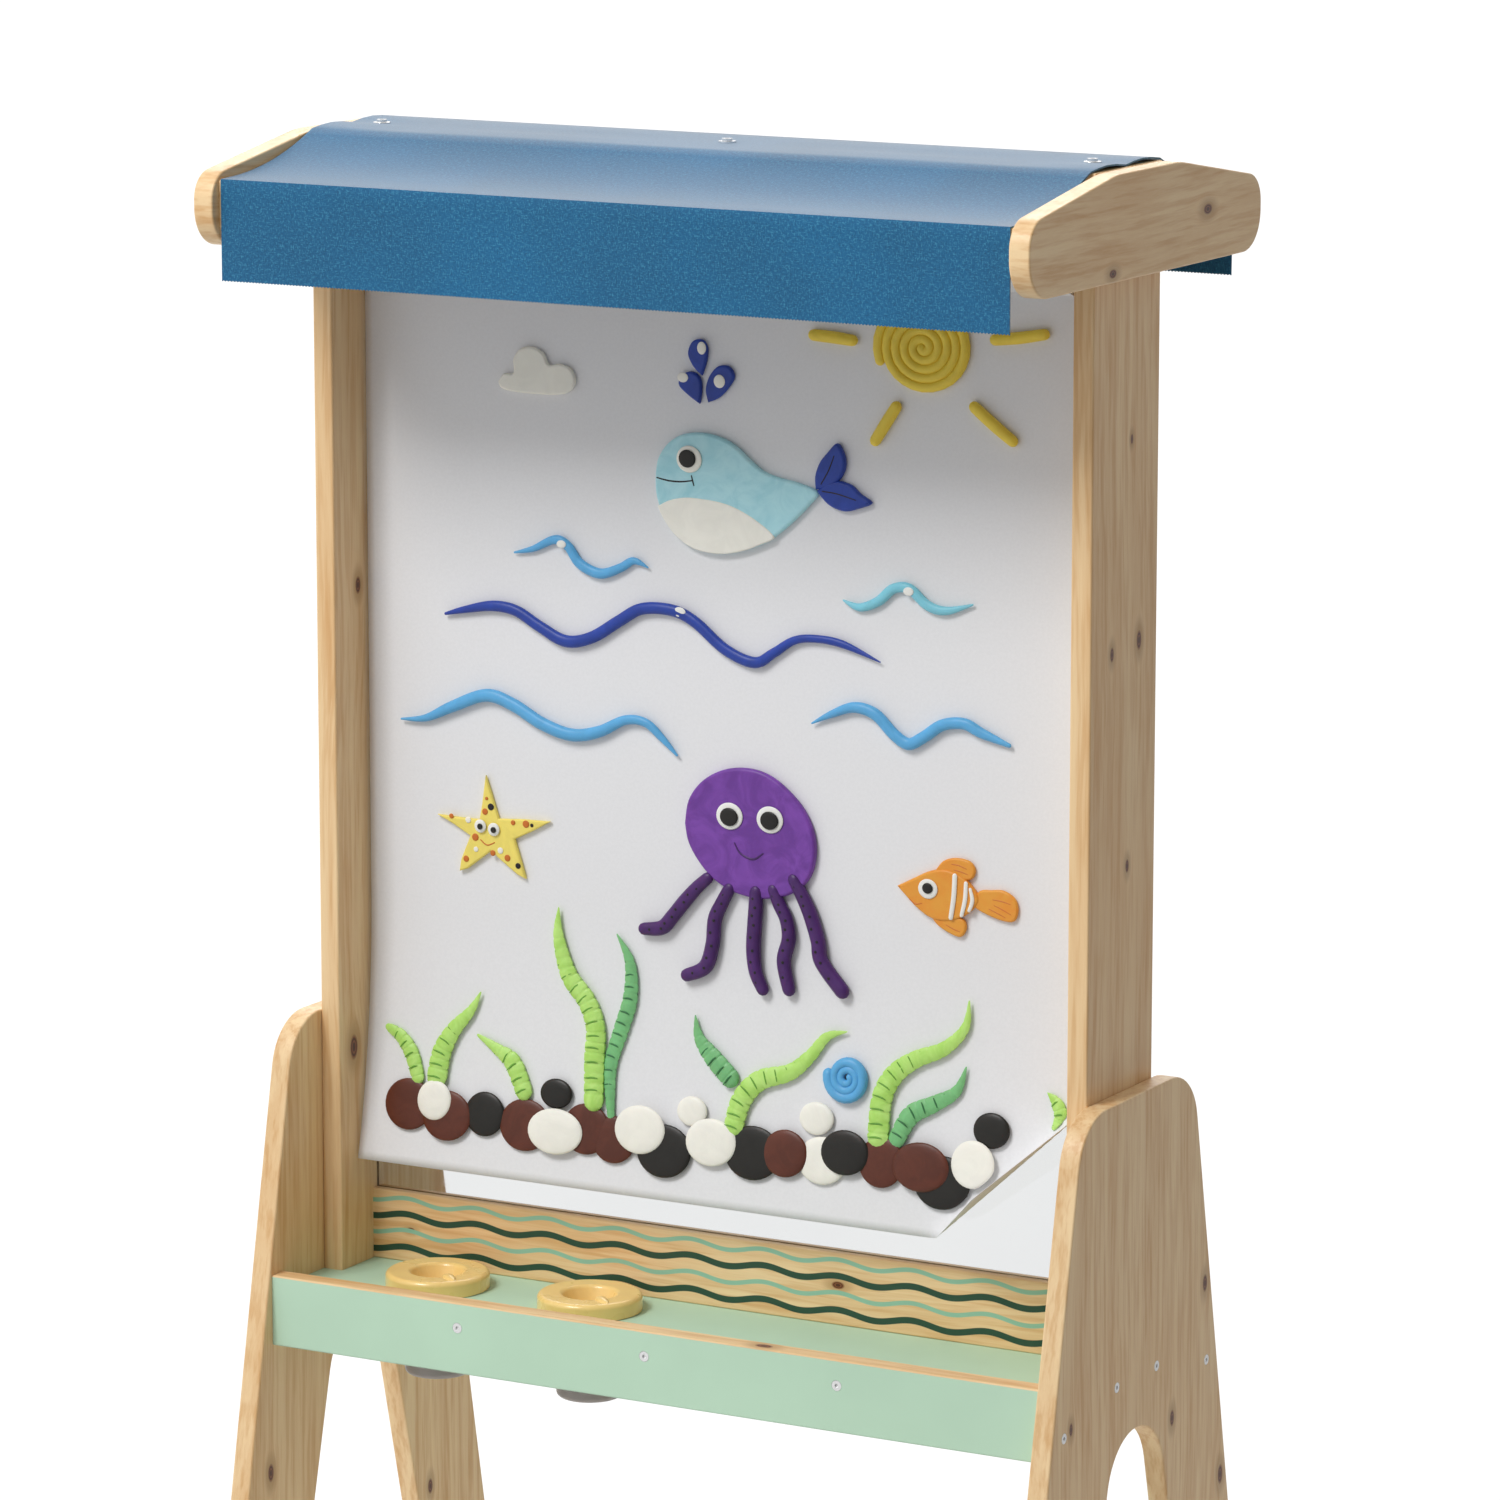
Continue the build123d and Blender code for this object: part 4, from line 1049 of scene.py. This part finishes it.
class EASEL_OT_clay_whale(bpy.types.Operator):
    """Model the whale with its belly, flukes, eye and mouth."""

    bl_idname = "easel.clay_whale"
    bl_label = "Clay whale"

    def execute(self, context):
        body = [
            (-52, 1030), (-50, 1044), (-42, 1056), (-30, 1063.5), (-14, 1066), (2, 1063.5),
            (15, 1057.5), (27, 1048), (38, 1041), (52, 1037.5), (66, 1035), (81, 1029.5), (74, 1020),
            (64, 1010), (52, 999.5), (37, 989.5), (18, 982.5), (-1, 979.5), (-20, 982), (-35, 990.5),
            (-46, 1005), (-51, 1018),
        ]
        put_on_paper(plate(body, 5.2, 2.2), "clay_whale_body", "aqua", ["clay_whale"])
        belly = [
            (-49.5, 1010.5), (-40, 1015.5), (-27, 1018.5), (-13, 1018.5), (3, 1017), (16, 1013.5),
            (32, 1006), (46, 995.5), (36, 989.2), (18, 982.3), (-1, 979.3), (-20, 981.8), (-35, 990.3),
            (-45, 1002),
        ]
        put_on_paper(plate(belly, 2.6, 1.2), "clay_whale_belly", "cream", lift=3.2)
        flukes = (
            [
                (79, 1031.5), (78.5, 1041), (82, 1051), (88.5, 1059), (96, 1066), (101.5, 1059),
                (103, 1050), (99, 1041), (90, 1034),
            ],
            [
                (80, 1031), (88, 1036.5), (97, 1039), (107, 1037), (115, 1031), (124, 1025),
                (113, 1020), (102, 1017.5), (91, 1020.5), (84, 1026),
            ],
        )
        for number, outline in enumerate(flukes, 1):
            put_on_paper(plate(outline, 5.2, 2.2), f"clay_fluke_{number}", "navy")
        # The fluke veins are near-black lines laid on the clay: painted shade of pressed creases.
        veins = (((84, 1036), (90, 1046), (94.5, 1057)), ((85, 1031), (97, 1030), (112, 1026.5)))
        for number, vein in enumerate(veins, 1):
            name = f"clay_fluke_vein_{number}"
            crease(vein, [0.45, 0.5, 0.4], name, "pit_shade", 4.9, blunt=False)
        ball = (-23.0, 1046.5, 10.4, 9.8, 2.2)
        pupil = (-23.8, 1047, 6.9, 6.5, 1.8)
        press_eye("whale", "", ball, pupil, (4.8, 6.6), "cream", ["clay_eyes"])
        # The mouth and the cheek are near-black lines laid on the clay: painted shade of pressed creases.
        mouth = [(-50, 1031.2), (-40, 1029.6), (-30, 1029.6), (-21, 1031)]
        crease(mouth, [0.5, 0.6, 0.6, 0.5], "clay_whale_mouth", "pit_shade", 4.85)
        cheek = [(-21.5, 1034.5), (-20.5, 1031), (-19.5, 1027.5)]
        crease(cheek, [0.45, 0.6, 0.45], "clay_whale_cheek", "pit_shade", 4.85)
        return {"FINISHED"}


# Each wave's clay, its points, its half widths, and its foam spot if it has one.
WAVE_STRINGS = (
    (
        "sky",
        [
            (-171, 967), (-155, 971), (-137, 979), (-126, 975), (-116, 963), (-99, 957), (-82, 962.5),
            (-71, 968.5), (-59, 964.5),
        ],
        [0.8, 2.4, 3.4, 3.6, 3.9, 3.9, 3.4, 2.8, 0.6],
        (-130, 976.5, 3.4),
    ),
    (
        "pale_sky",
        [
            (101, 953.5), (114, 949.5), (129, 955), (141, 965), (154, 966), (168, 955.5), (183, 952.5),
            (204, 958.5),
        ],
        [0.7, 3.0, 3.7, 3.8, 3.8, 3.7, 3.2, 0.8],
        (154.5, 964.5, 3.6),
    ),
    (
        "navy",
        [
            (-230, 917), (-213, 921.5), (-190, 926), (-170, 924), (-150, 914), (-128, 905),
            (-106, 909.5), (-83, 923.5), (-64, 934), (-39, 935), (-20, 928), (5, 910), (29, 902.5),
            (45, 911), (62, 921.5), (81, 924), (102, 921.5), (131, 911.5),
        ],
        [1.2, 2.8, 4.0, 4.2, 4.3, 4.6, 4.6, 4.5, 4.5, 4.4, 4.3, 4.2, 4.2, 3.6, 3.1, 2.9, 2.8, 0.5],
        (-31.5, 934.5, 4.4),
    ),
    (
        "sky",
        [
            (-269, 835), (-248, 837.5), (-225, 848), (-196, 859), (-173, 854), (-148, 842), (-123, 836),
            (-100, 840.5), (-78, 851), (-61, 850.5), (-48, 841), (-35, 829),
        ],
        [0.8, 2.8, 4.4, 4.9, 4.9, 4.9, 4.8, 4.5, 3.7, 3.3, 2.8, 1.0],
        None,
    ),
    (
        "sky",
        [
            (76, 862.5), (92, 870.5), (110, 877), (127, 873.5), (142, 860.5), (154, 854.5),
            (166, 860.5), (181, 870.5), (198, 873), (212, 867.5), (234, 860.5),
        ],
        [0.7, 2.8, 4.0, 4.4, 4.4, 4.5, 4.4, 4.4, 4.2, 3.8, 1.6],
        None,
    ),
)


class EASEL_OT_clay_waves(bpy.types.Operator):
    """Roll the five wave strings and press their foam spots on."""

    bl_idname = "easel.clay_waves"
    bl_label = "Clay waves"

    def execute(self, context):
        for number, (tone, points, widths, spot) in enumerate(WAVE_STRINGS, 1):
            stands_for = ["clay_waves"] if number == 1 else ()
            put_on_paper(rolled(points, widths, 0.72), f"clay_wave_{number}", tone, stands_for)
            if spot:
                x, z, half = spot
                foam = button(x, z, half * 1.15, half * 0.85, 1.4)
                put_on_paper(foam, f"clay_foam_{number}", "white", lift=4.6)
        return {"FINISHED"}


class EASEL_OT_clay_starfish(bpy.types.Operator):
    """Model the spotted starfish."""

    bl_idname = "easel.clay_starfish"
    bl_label = "Clay starfish"

    def execute(self, context):
        star = [
            (-197, 799), (-192, 785), (-186, 767.5), (-166, 769), (-142, 769.5), (-157, 761),
            (-172.5, 753.5), (-168, 740), (-163, 724.5), (-170, 727), (-193, 742.5), (-213, 727.5),
            (-220, 725), (-218.5, 734), (-210.5, 752.5), (-225, 760), (-239, 766), (-220, 765.5),
            (-202.5, 765.5), (-200, 778),
        ]
        star = plate(star, 4.0, 1.5, closed_smooth=False)
        put_on_paper(star, "clay_star", "lemon", ["clay_starfish"])
        for number, (x, z) in enumerate(((-200.5, 761), (-189, 759.5)), 1):
            ball = (x, z, 5.0, 5.0, 3.0)
            pupil = (x + 0.6, z, 2.3, 2.3, 1.4)
            press_eye("star", f"_{number}", ball, pupil, (3.6, 6.2), flatness=2.4)
        smile = [(-201, 750.5), (-195.5, 747), (-189, 749.5)]
        crease(smile, [0.4, 0.5, 0.4], "clay_star_smile", "rust", 3.8, samples=5)
        # Spots in the near-black pit clay are painted shade of pits pressed into the star; the others are
        # coloured clay.
        spots = (
            (-192, 776, 2.6, "pit_shade"), (-197, 772, 2.4, "rust"), (-195.5, 782, 1.3, "rust"),
            (-211.5, 764.5, 2.4, "cream"),
            (-226, 766, 1.9, "rust"), (-162, 766, 2.8, "rust"), (-157, 765.5, 1.4, "pit_shade"),
            (-173, 766, 1.9, "rust"),
            (-205.5, 752, 2.8, "rust"), (-205, 743, 2.0, "cream"), (-213.5, 735, 2.4, "rust"),
            (-184, 744, 2.4, "cream"),
            (-190.5, 741.5, 2.2, "rust"), (-178, 739, 2.5, "rust"), (-169, 734, 2.2, "pit_shade"),
        )
        for number, (x, z, half, tone) in enumerate(spots, 1):
            put_on_paper(button(x, z, half, half, 1.1), f"clay_star_spot_{number}", tone,
                         lift=3.6)
        return {"FINISHED"}


# Each arm's points and half widths.
TENTACLES = (
    (
        [(-9, 741), (-18, 733), (-28, 722), (-38, 710), (-47, 700.5), (-62, 698)],
        [4.2, 4.6, 5.0, 5.0, 5.2, 4.4],
    ),
    (
        [(9, 735), (3, 724), (-3, 711), (-5, 692), (-11, 675), (-26, 667.5)],
        [4.4, 4.8, 5.2, 5.2, 5.2, 4.6],
    ),
    (
        [(31, 735), (31, 724), (30, 711), (29, 692), (31, 676), (37, 664)],
        [4.6, 5.4, 5.4, 5.4, 5.0, 4.6],
    ),
    (
        [(45, 738), (50, 728), (56, 717), (58, 703), (54, 686), (58.5, 666)],
        [4.0, 4.8, 5.0, 5.2, 5.2, 4.8],
    ),
    (
        [(62, 747), (69, 736), (76, 722), (82, 704), (85, 689), (102, 669.5)],
        [4.4, 5.0, 5.4, 5.4, 5.4, 5.4],
    ),
)


class EASEL_OT_clay_octopus(bpy.types.Operator):
    """Model the octopus with its arms, eyes and smile."""

    bl_idname = "easel.clay_octopus"
    bl_label = "Clay octopus"

    def execute(self, context):
        head = [
            (-28, 780), (-25, 797), (-15, 811), (0, 820.5), (16, 824.5), (32, 824), (46, 819),
            (60, 809), (71, 797), (78, 782), (79.5, 766), (75, 750), (64, 738.5), (48, 732), (31, 730),
            (14, 732.5), (-3, 740), (-16, 752), (-25, 766),
        ]
        put_on_paper(plate(head, 5.6, 2.2), "clay_octopus_head", "purple", ["clay_octopus"])
        for number, (points, widths) in enumerate(TENTACLES, 1):
            arm = rolled(points, [1.08 * half for half in widths], 0.66)
            put_on_paper(arm, f"clay_arm_{number}", "plum", lift=0.9)
            line = flowing([(*p, w) for p, w in zip(points, widths)], 2)
            # Near-black dots along each arm stand for its sucker pits: painted shade of the pits.
            for bead, (x, z, half) in enumerate(line[1:-1], 1):
                pit_shade = button(x + 0.9 * (-1) ** bead, z, 1.1, 1.1, 0.5)
                put_on_paper(pit_shade, f"clay_arm_{number}_pit_{bead}", "pit_shade",
                             lift=0.9 + half * 1.33)
        for number, x in enumerate((10.2, 43.4), 1):
            z = 788.6 + 0.4 * number
            ball = (x, z, 10.9, 9.9, 2.4)
            pupil = (x + 0.4, z - 0.3, 7.4, 6.7, 2.0)
            press_eye("octopus", f"_{number}", ball, pupil, (5.1, 7.0))
        smile = [(14, 769.5), (18, 763), (25, 759.5), (31, 759.5), (37.5, 764)]
        crease(smile, [0.5, 0.7, 0.8, 0.8, 0.5], "clay_octopus_smile", "plum", 5.3)
        return {"FINISHED"}


class EASEL_OT_clay_fish(bpy.types.Operator):
    """Model the striped fish."""

    bl_idname = "easel.clay_fish"
    bl_label = "Clay fish"

    def execute(self, context):
        tail = [(205, 746), (211, 753.5), (220, 755), (230, 755.5), (239, 750.5), (241.5, 742),
                (238, 734), (228, 734), (217, 737), (208, 741)]
        top_fin = [(176, 765.5), (182, 772.5), (192, 775.5), (203, 774), (207.5, 767.5), (203, 760.5),
                   (188, 762)]
        low_fin = [(172, 732), (177, 726), (186, 721), (196, 718.5), (200.5, 725), (198, 731.5), (184, 734)]
        for name, outline in (("tail", tail), ("top_fin", top_fin), ("low_fin", low_fin)):
            put_on_paper(plate(outline, 3.6, 1.5), f"clay_fish_{name}", "orange")
        body = [
            (145.5, 751), (158, 757.5), (171, 764), (184, 766.5), (197, 763), (207, 754.5), (211, 747),
            (206, 739.5), (196, 732.5), (184, 729), (172, 730.5), (161, 737), (153, 744),
        ]
        put_on_paper(plate(body, 4.6, 1.8), "clay_fish_body", "orange", ["clay_fish"])
        stripes = (
            ([(192.5, 763), (191.8, 748), (189.5, 732.5)], [1.9, 1.9, 1.8]),
            ([(201.3, 758.5), (200.8, 747), (198, 735)], [1.5, 1.7, 1.5]),
            ([(204.8, 754.5), (206.5, 746.5), (204, 739)], [1.2, 1.6, 1.3]),
        )
        for number, (points, widths) in enumerate(stripes, 1):
            stripe = rolled(points, widths, 0.5, samples=5)
            put_on_paper(stripe, f"clay_fish_stripe_{number}", "white", lift=4.2)
        press_eye("fish", "", (171, 751.5, 7.8, 7.2, 1.9), (171.3, 752.2, 4.2, 3.9, 1.6), (4.1, 5.6))
        creases = (
            [(222, 748.5), (229, 748), (236, 746.5)], [(223, 744.5), (230, 742), (236.5, 739)],
            [(219, 741.5), (226, 739), (232, 736.5)], [(189, 771), (195, 770.5), (201, 768.5)],
            [(191, 767), (197, 766), (202, 764.5)], [(185, 726.5), (191, 724), (196, 722.5)],
            [(156, 742.5), (161, 739.5), (166, 740.5)],
        )
        for number, points in enumerate(creases, 1):
            lift = 4.35 if number == len(creases) else 3.3
            crease(points, [0.3, 0.45, 0.3], f"clay_fish_crease_{number}", "rust", lift)
        return {"FINISHED"}


# Each blade's clay, its points from tip to foot, and its half widths.
SEAWEED = (
    ("leaf", [(-280, 601), (-269, 595.5), (-259, 584), (-252, 567)], [3.2, 5.2, 6.2, 5.6]),
    (
        "leaf",
        [(-201, 635.5), (-209, 621), (-223, 605), (-232, 588), (-235, 569)],
        [0.7, 3.8, 6.4, 8.2, 8.6],
    ),
    ("leaf", [(-202, 603.5), (-185, 595), (-171, 586.5), (-160, 567)], [1.2, 4.4, 7.2, 7.2]),
    (
        "leaf",
        [(-135, 706), (-135, 684), (-126, 657), (-110, 638.5), (-102, 620), (-101.5, 598), (-100, 567)],
        [0.6, 4.6, 7.2, 7.8, 8.2, 8.8, 8.4],
    ),
    (
        "green",
        [(-86, 691), (-75, 671), (-74, 645), (-81, 620), (-88, 595), (-87, 571), (-84.5, 554)],
        [0.6, 4.4, 6.2, 6.4, 5.6, 4.2, 2.8],
    ),
    ("green", [(-19, 638), (-15, 622), (-3, 609), (12, 596)], [0.6, 4.4, 7.2, 7.6]),
    (
        "leaf",
        [(106, 640), (90, 634.5), (77, 619), (61, 605.5), (37, 597), (23, 581.5), (18, 562)],
        [0.6, 3.6, 5.0, 6.4, 7.8, 8.4, 8.2],
    ),
    (
        "leaf",
        [(204, 673), (201, 653), (185, 636.5), (163, 626.5), (146, 613.5), (137, 595), (136, 568)],
        [0.7, 3.6, 5.4, 6.6, 7.8, 8.4, 8.8],
    ),
    ("leaf", [(268, 614), (275, 608), (279, 600), (276, 590)], [0.5, 4.4, 5.2, 3.0]),
    (
        "green",
        [(203, 625), (196, 607), (178, 595.5), (161, 586), (151, 568)],
        [0.7, 4.2, 6.4, 7.4, 6.8],
    ),
)


CUT_SPACING = 8.6  # millimetres along a blade
CUT_NARROWEST = 2.6  # half width below which a blade has no cuts


class EASEL_OT_clay_seaweed(bpy.types.Operator):
    """Roll the notched blades of seaweed."""

    bl_idname = "easel.clay_seaweed"
    bl_label = "Clay seaweed"

    def execute(self, context):
        for number, (tone, points, widths) in enumerate(SEAWEED, 1):
            stands_for = ["clay_seaweed"] if number == 1 else ()
            blade = rolled(points, widths, 0.4, notch=0.13, samples=26)
            put_on_paper(blade, f"clay_blade_{number}", tone, stands_for)
            line = flowing([(*p, w) for p, w in zip(points, widths)], 12)
            run = 0.0
            cuts = 0
            for before, (x, z, half) in zip(line, line[1:]):
                step_on = Vector((x - before.x, z - before.y))
                run += step_on.length
                if run < CUT_SPACING or half < CUT_NARROWEST:
                    continue
                run = 0.0
                cuts += 1
                side = step_on.normalized().orthogonal()
                # Across each cut lies a thin darker green line: painted shade in the cut.
                cut = [
                    (x + side.x * half * k, z + side.y * half * k - 0.8 * abs(k))
                    for k in (-0.75, 0.0, 0.5)
                ]
                name = f"clay_blade_{number}_cut_{cuts}"
                crease(cut, [0.35, 0.75, 0.3], name, f"notch_shade_{tone}", 0.72 * half)
        return {"FINISHED"}


# Each pebble's X and Z, half width, half height, clay, and lift over its neighbours.
PEBBLES = (
    (-258, 545, 19, 20, "brown", 0), (-192, 545, 15.6, 17.2, "black", 0),
    (-224, 540.5, 19.5, 19.5, "brown", 1.2),
    (-234.5, 551, 13.5, 15.5, "cream", 3.0), (-157, 541, 20, 20, "brown", 0),
    (-132, 567, 12.5, 11.5, "black", 0.8),
    (-105, 544, 18.5, 19.5, "brown", 0), (-129.5, 540, 21.5, 17.5, "cream", 3.0),
    (-81, 539, 17, 18, "brown", 0),
    (-38, 536, 21, 20.3, "black", 1.0), (-58.5, 549.5, 19.5, 18.5, "cream", 3.0),
    (-17.5, 567, 11.5, 11.5, "cream", 0.4),
    (35, 543, 21.5, 20.5, "black", 0.6), (1, 547, 19.5, 18, "cream", 2.2), (62, 546, 17, 18, "brown", 1.6),
    (85, 573.5, 13, 12.5, "cream", 0.2), (92, 544, 18.5, 18, "cream", 0), (111, 552.5, 18, 17, "black", 2.6),
    (140, 548.5, 17, 19, "brown", 0.8), (190, 540, 21, 20, "black", 0.8),
    (173, 549.5, 21, 18.5, "brown", 3.2),
    (214, 556, 16, 18, "cream", 2.6), (226, 581, 13.5, 13.5, "black", 0.4),
)


class EASEL_OT_clay_pebbles(bpy.types.Operator):
    """Press the pebbles of the sea floor on top of one another."""

    bl_idname = "easel.clay_pebbles"
    bl_label = "Clay pebbles"

    def execute(self, context):
        for number, (x, z, wide, high, tone, lift) in enumerate(PEBBLES, 1):
            stands_for = ["clay_pebbles"] if number == 1 else ()
            pebble = button(x, z + 1.3, wide * 1.08, high * 0.95, 4.8)
            put_on_paper(pebble, f"clay_pebble_{number}", tone, stands_for, lift)
        return {"FINISHED"}


class EASEL_OT_clay_shell(bpy.types.Operator):
    """Coil the snail shell."""

    bl_idname = "easel.clay_shell"
    bl_label = "Clay shell"

    def execute(self, context):
        coil = spiral((108, 606.5), 2.2, 15.6, 30, -2.6, 60)
        shell = rolled(coil, [2.6 + 1.6 * k / 60 for k in range(61)], 0.85, samples=1)
        put_on_paper(shell, "clay_shell_coil", "sky", ["clay_shell"])
        return {"FINISHED"}


FLOOR_RADIUS = 0.86
FLOOR_DROP = mm(-0.3)  # just under the feet
# Each lamp's name, place, size and power in watts.
LAMPS = (("key", (-1.1, -2.9, 4.1), 1.5, 118), ("back", (-1.6, 3.2, 3.4), 2.4, 45))
LAMP_AIM = Vector((0, 0, 0.85))
CAMERA_PLACE = Vector((2.3934, -4.2916, 1.7643))
CAMERA_AIM = Vector((0.0185, 0, 0.8357))
CAMERA_LENS = 166.12


class EASEL_OT_stage(bpy.types.Operator):
    """Set the floor, the light and the camera."""

    bl_idname = "easel.stage"
    bl_label = "Stage"

    def execute(self, context):
        scene = context.scene
        start()
        bpy.ops.mesh.primitive_circle_add(
            vertices=96, radius=FLOOR_RADIUS, fill_type="NGON", location=(0, 0, FLOOR_DROP)
        )
        floor = settle(context.object)
        floor.name = "floor"
        material, tree, shader = new_material("pale_floor", 0.95, Specular_IOR_Level=0.05)
        cloud = grains(tree, place(tree), 1.2, 2.0)
        coloured(tree, shader, tint(tree, cloud, (0.79, 0.79, 0.79), (0.81, 0.81, 0.81)))
        floor.data.materials.append(material)

        world = bpy.data.worlds.new("studio")
        scene.world = world
        world.use_nodes = True
        sky = world.node_tree
        backdrop = sky.nodes["Background"]
        backdrop.inputs["Color"].default_value = (1.0, 1.0, 1.0, 1)
        towards = add_node(sky, "TexCoord").outputs["Generated"]
        direction = add_node(sky, "SeparateXYZ", {0: towards}).outputs
        from_left = step(sky, direction["X"], 0.6, -0.5, 0.26, 0.74)
        from_behind = step(sky, direction["Y"], 0.2, 0.8, 0.0, 0.35)
        sky.links.new(calc(sky, "ADD", from_left, from_behind), backdrop.inputs["Strength"])
        for name, spot, size, power in LAMPS:
            light = bpy.data.lights.new(name, "AREA")
            light.size = size
            light.energy = power
            lamp = bpy.data.objects.new(name, light)
            scene.collection.objects.link(lamp)
            lamp.location = spot
            aim = LAMP_AIM - Vector(spot)
            lamp.rotation_euler = aim.to_track_quat("-Z", "Y").to_euler()

        view = bpy.data.cameras.new("view")
        view.lens = CAMERA_LENS
        view.sensor_width = 36
        view.clip_end = 200
        camera = bpy.data.objects.new("view", view)
        scene.collection.objects.link(camera)
        camera.location = CAMERA_PLACE
        aim = CAMERA_AIM - CAMERA_PLACE
        camera.rotation_euler = aim.to_track_quat("-Z", "Y").to_euler()
        scene.camera = camera
        scene.view_settings.view_transform = "Standard"
        return {"FINISHED"}


class EASEL_PT_panel(bpy.types.Panel):
    """The easel's pieces and settings in the sidebar."""

    bl_idname = "EASEL_PT_panel"
    bl_label = "Wooden easel"
    bl_space_type = "VIEW_3D"
    bl_region_type = "UI"
    bl_category = "Easel"

    def draw(self, context):
        layout = self.layout
        for group in (context.scene.easel_colours, context.scene.easel_sizes):
            for name in group.bl_rna.properties.keys():
                if name not in ("rna_type", "name"):
                    layout.prop(group, name)
        for maker in MAKERS:
            layout.operator(maker.bl_idname)


MAKERS = (
    EASEL_OT_wood,
    EASEL_OT_fittings,
    EASEL_OT_cups,
    EASEL_OT_canopy,
    EASEL_OT_paper,
    EASEL_OT_clay_sky,
    EASEL_OT_clay_whale,
    EASEL_OT_clay_waves,
    EASEL_OT_clay_starfish,
    EASEL_OT_clay_octopus,
    EASEL_OT_clay_fish,
    EASEL_OT_clay_seaweed,
    EASEL_OT_clay_pebbles,
    EASEL_OT_clay_shell,
    EASEL_OT_stage,
)
CLASSES = (EASEL_PG_colours, EASEL_PG_sizes, *MAKERS, EASEL_PT_panel)


def register():
    """Add the classes and the settings to Blender."""
    for kind in CLASSES:
        bpy.utils.register_class(kind)
    bpy.types.Scene.easel_colours = PointerProperty(type=EASEL_PG_colours)
    bpy.types.Scene.easel_sizes = PointerProperty(type=EASEL_PG_sizes)


def unregister():
    """Take them away again."""
    del bpy.types.Scene.easel_sizes
    del bpy.types.Scene.easel_colours
    for kind in reversed(CLASSES):
        bpy.utils.unregister_class(kind)


def main():
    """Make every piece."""
    register()
    CLAYS.update(clay_colours())
    for maker in MAKERS:
        group, name = maker.bl_idname.split(".")
        getattr(getattr(bpy.ops, group), name)()


if __name__ == "__main__":
    main()
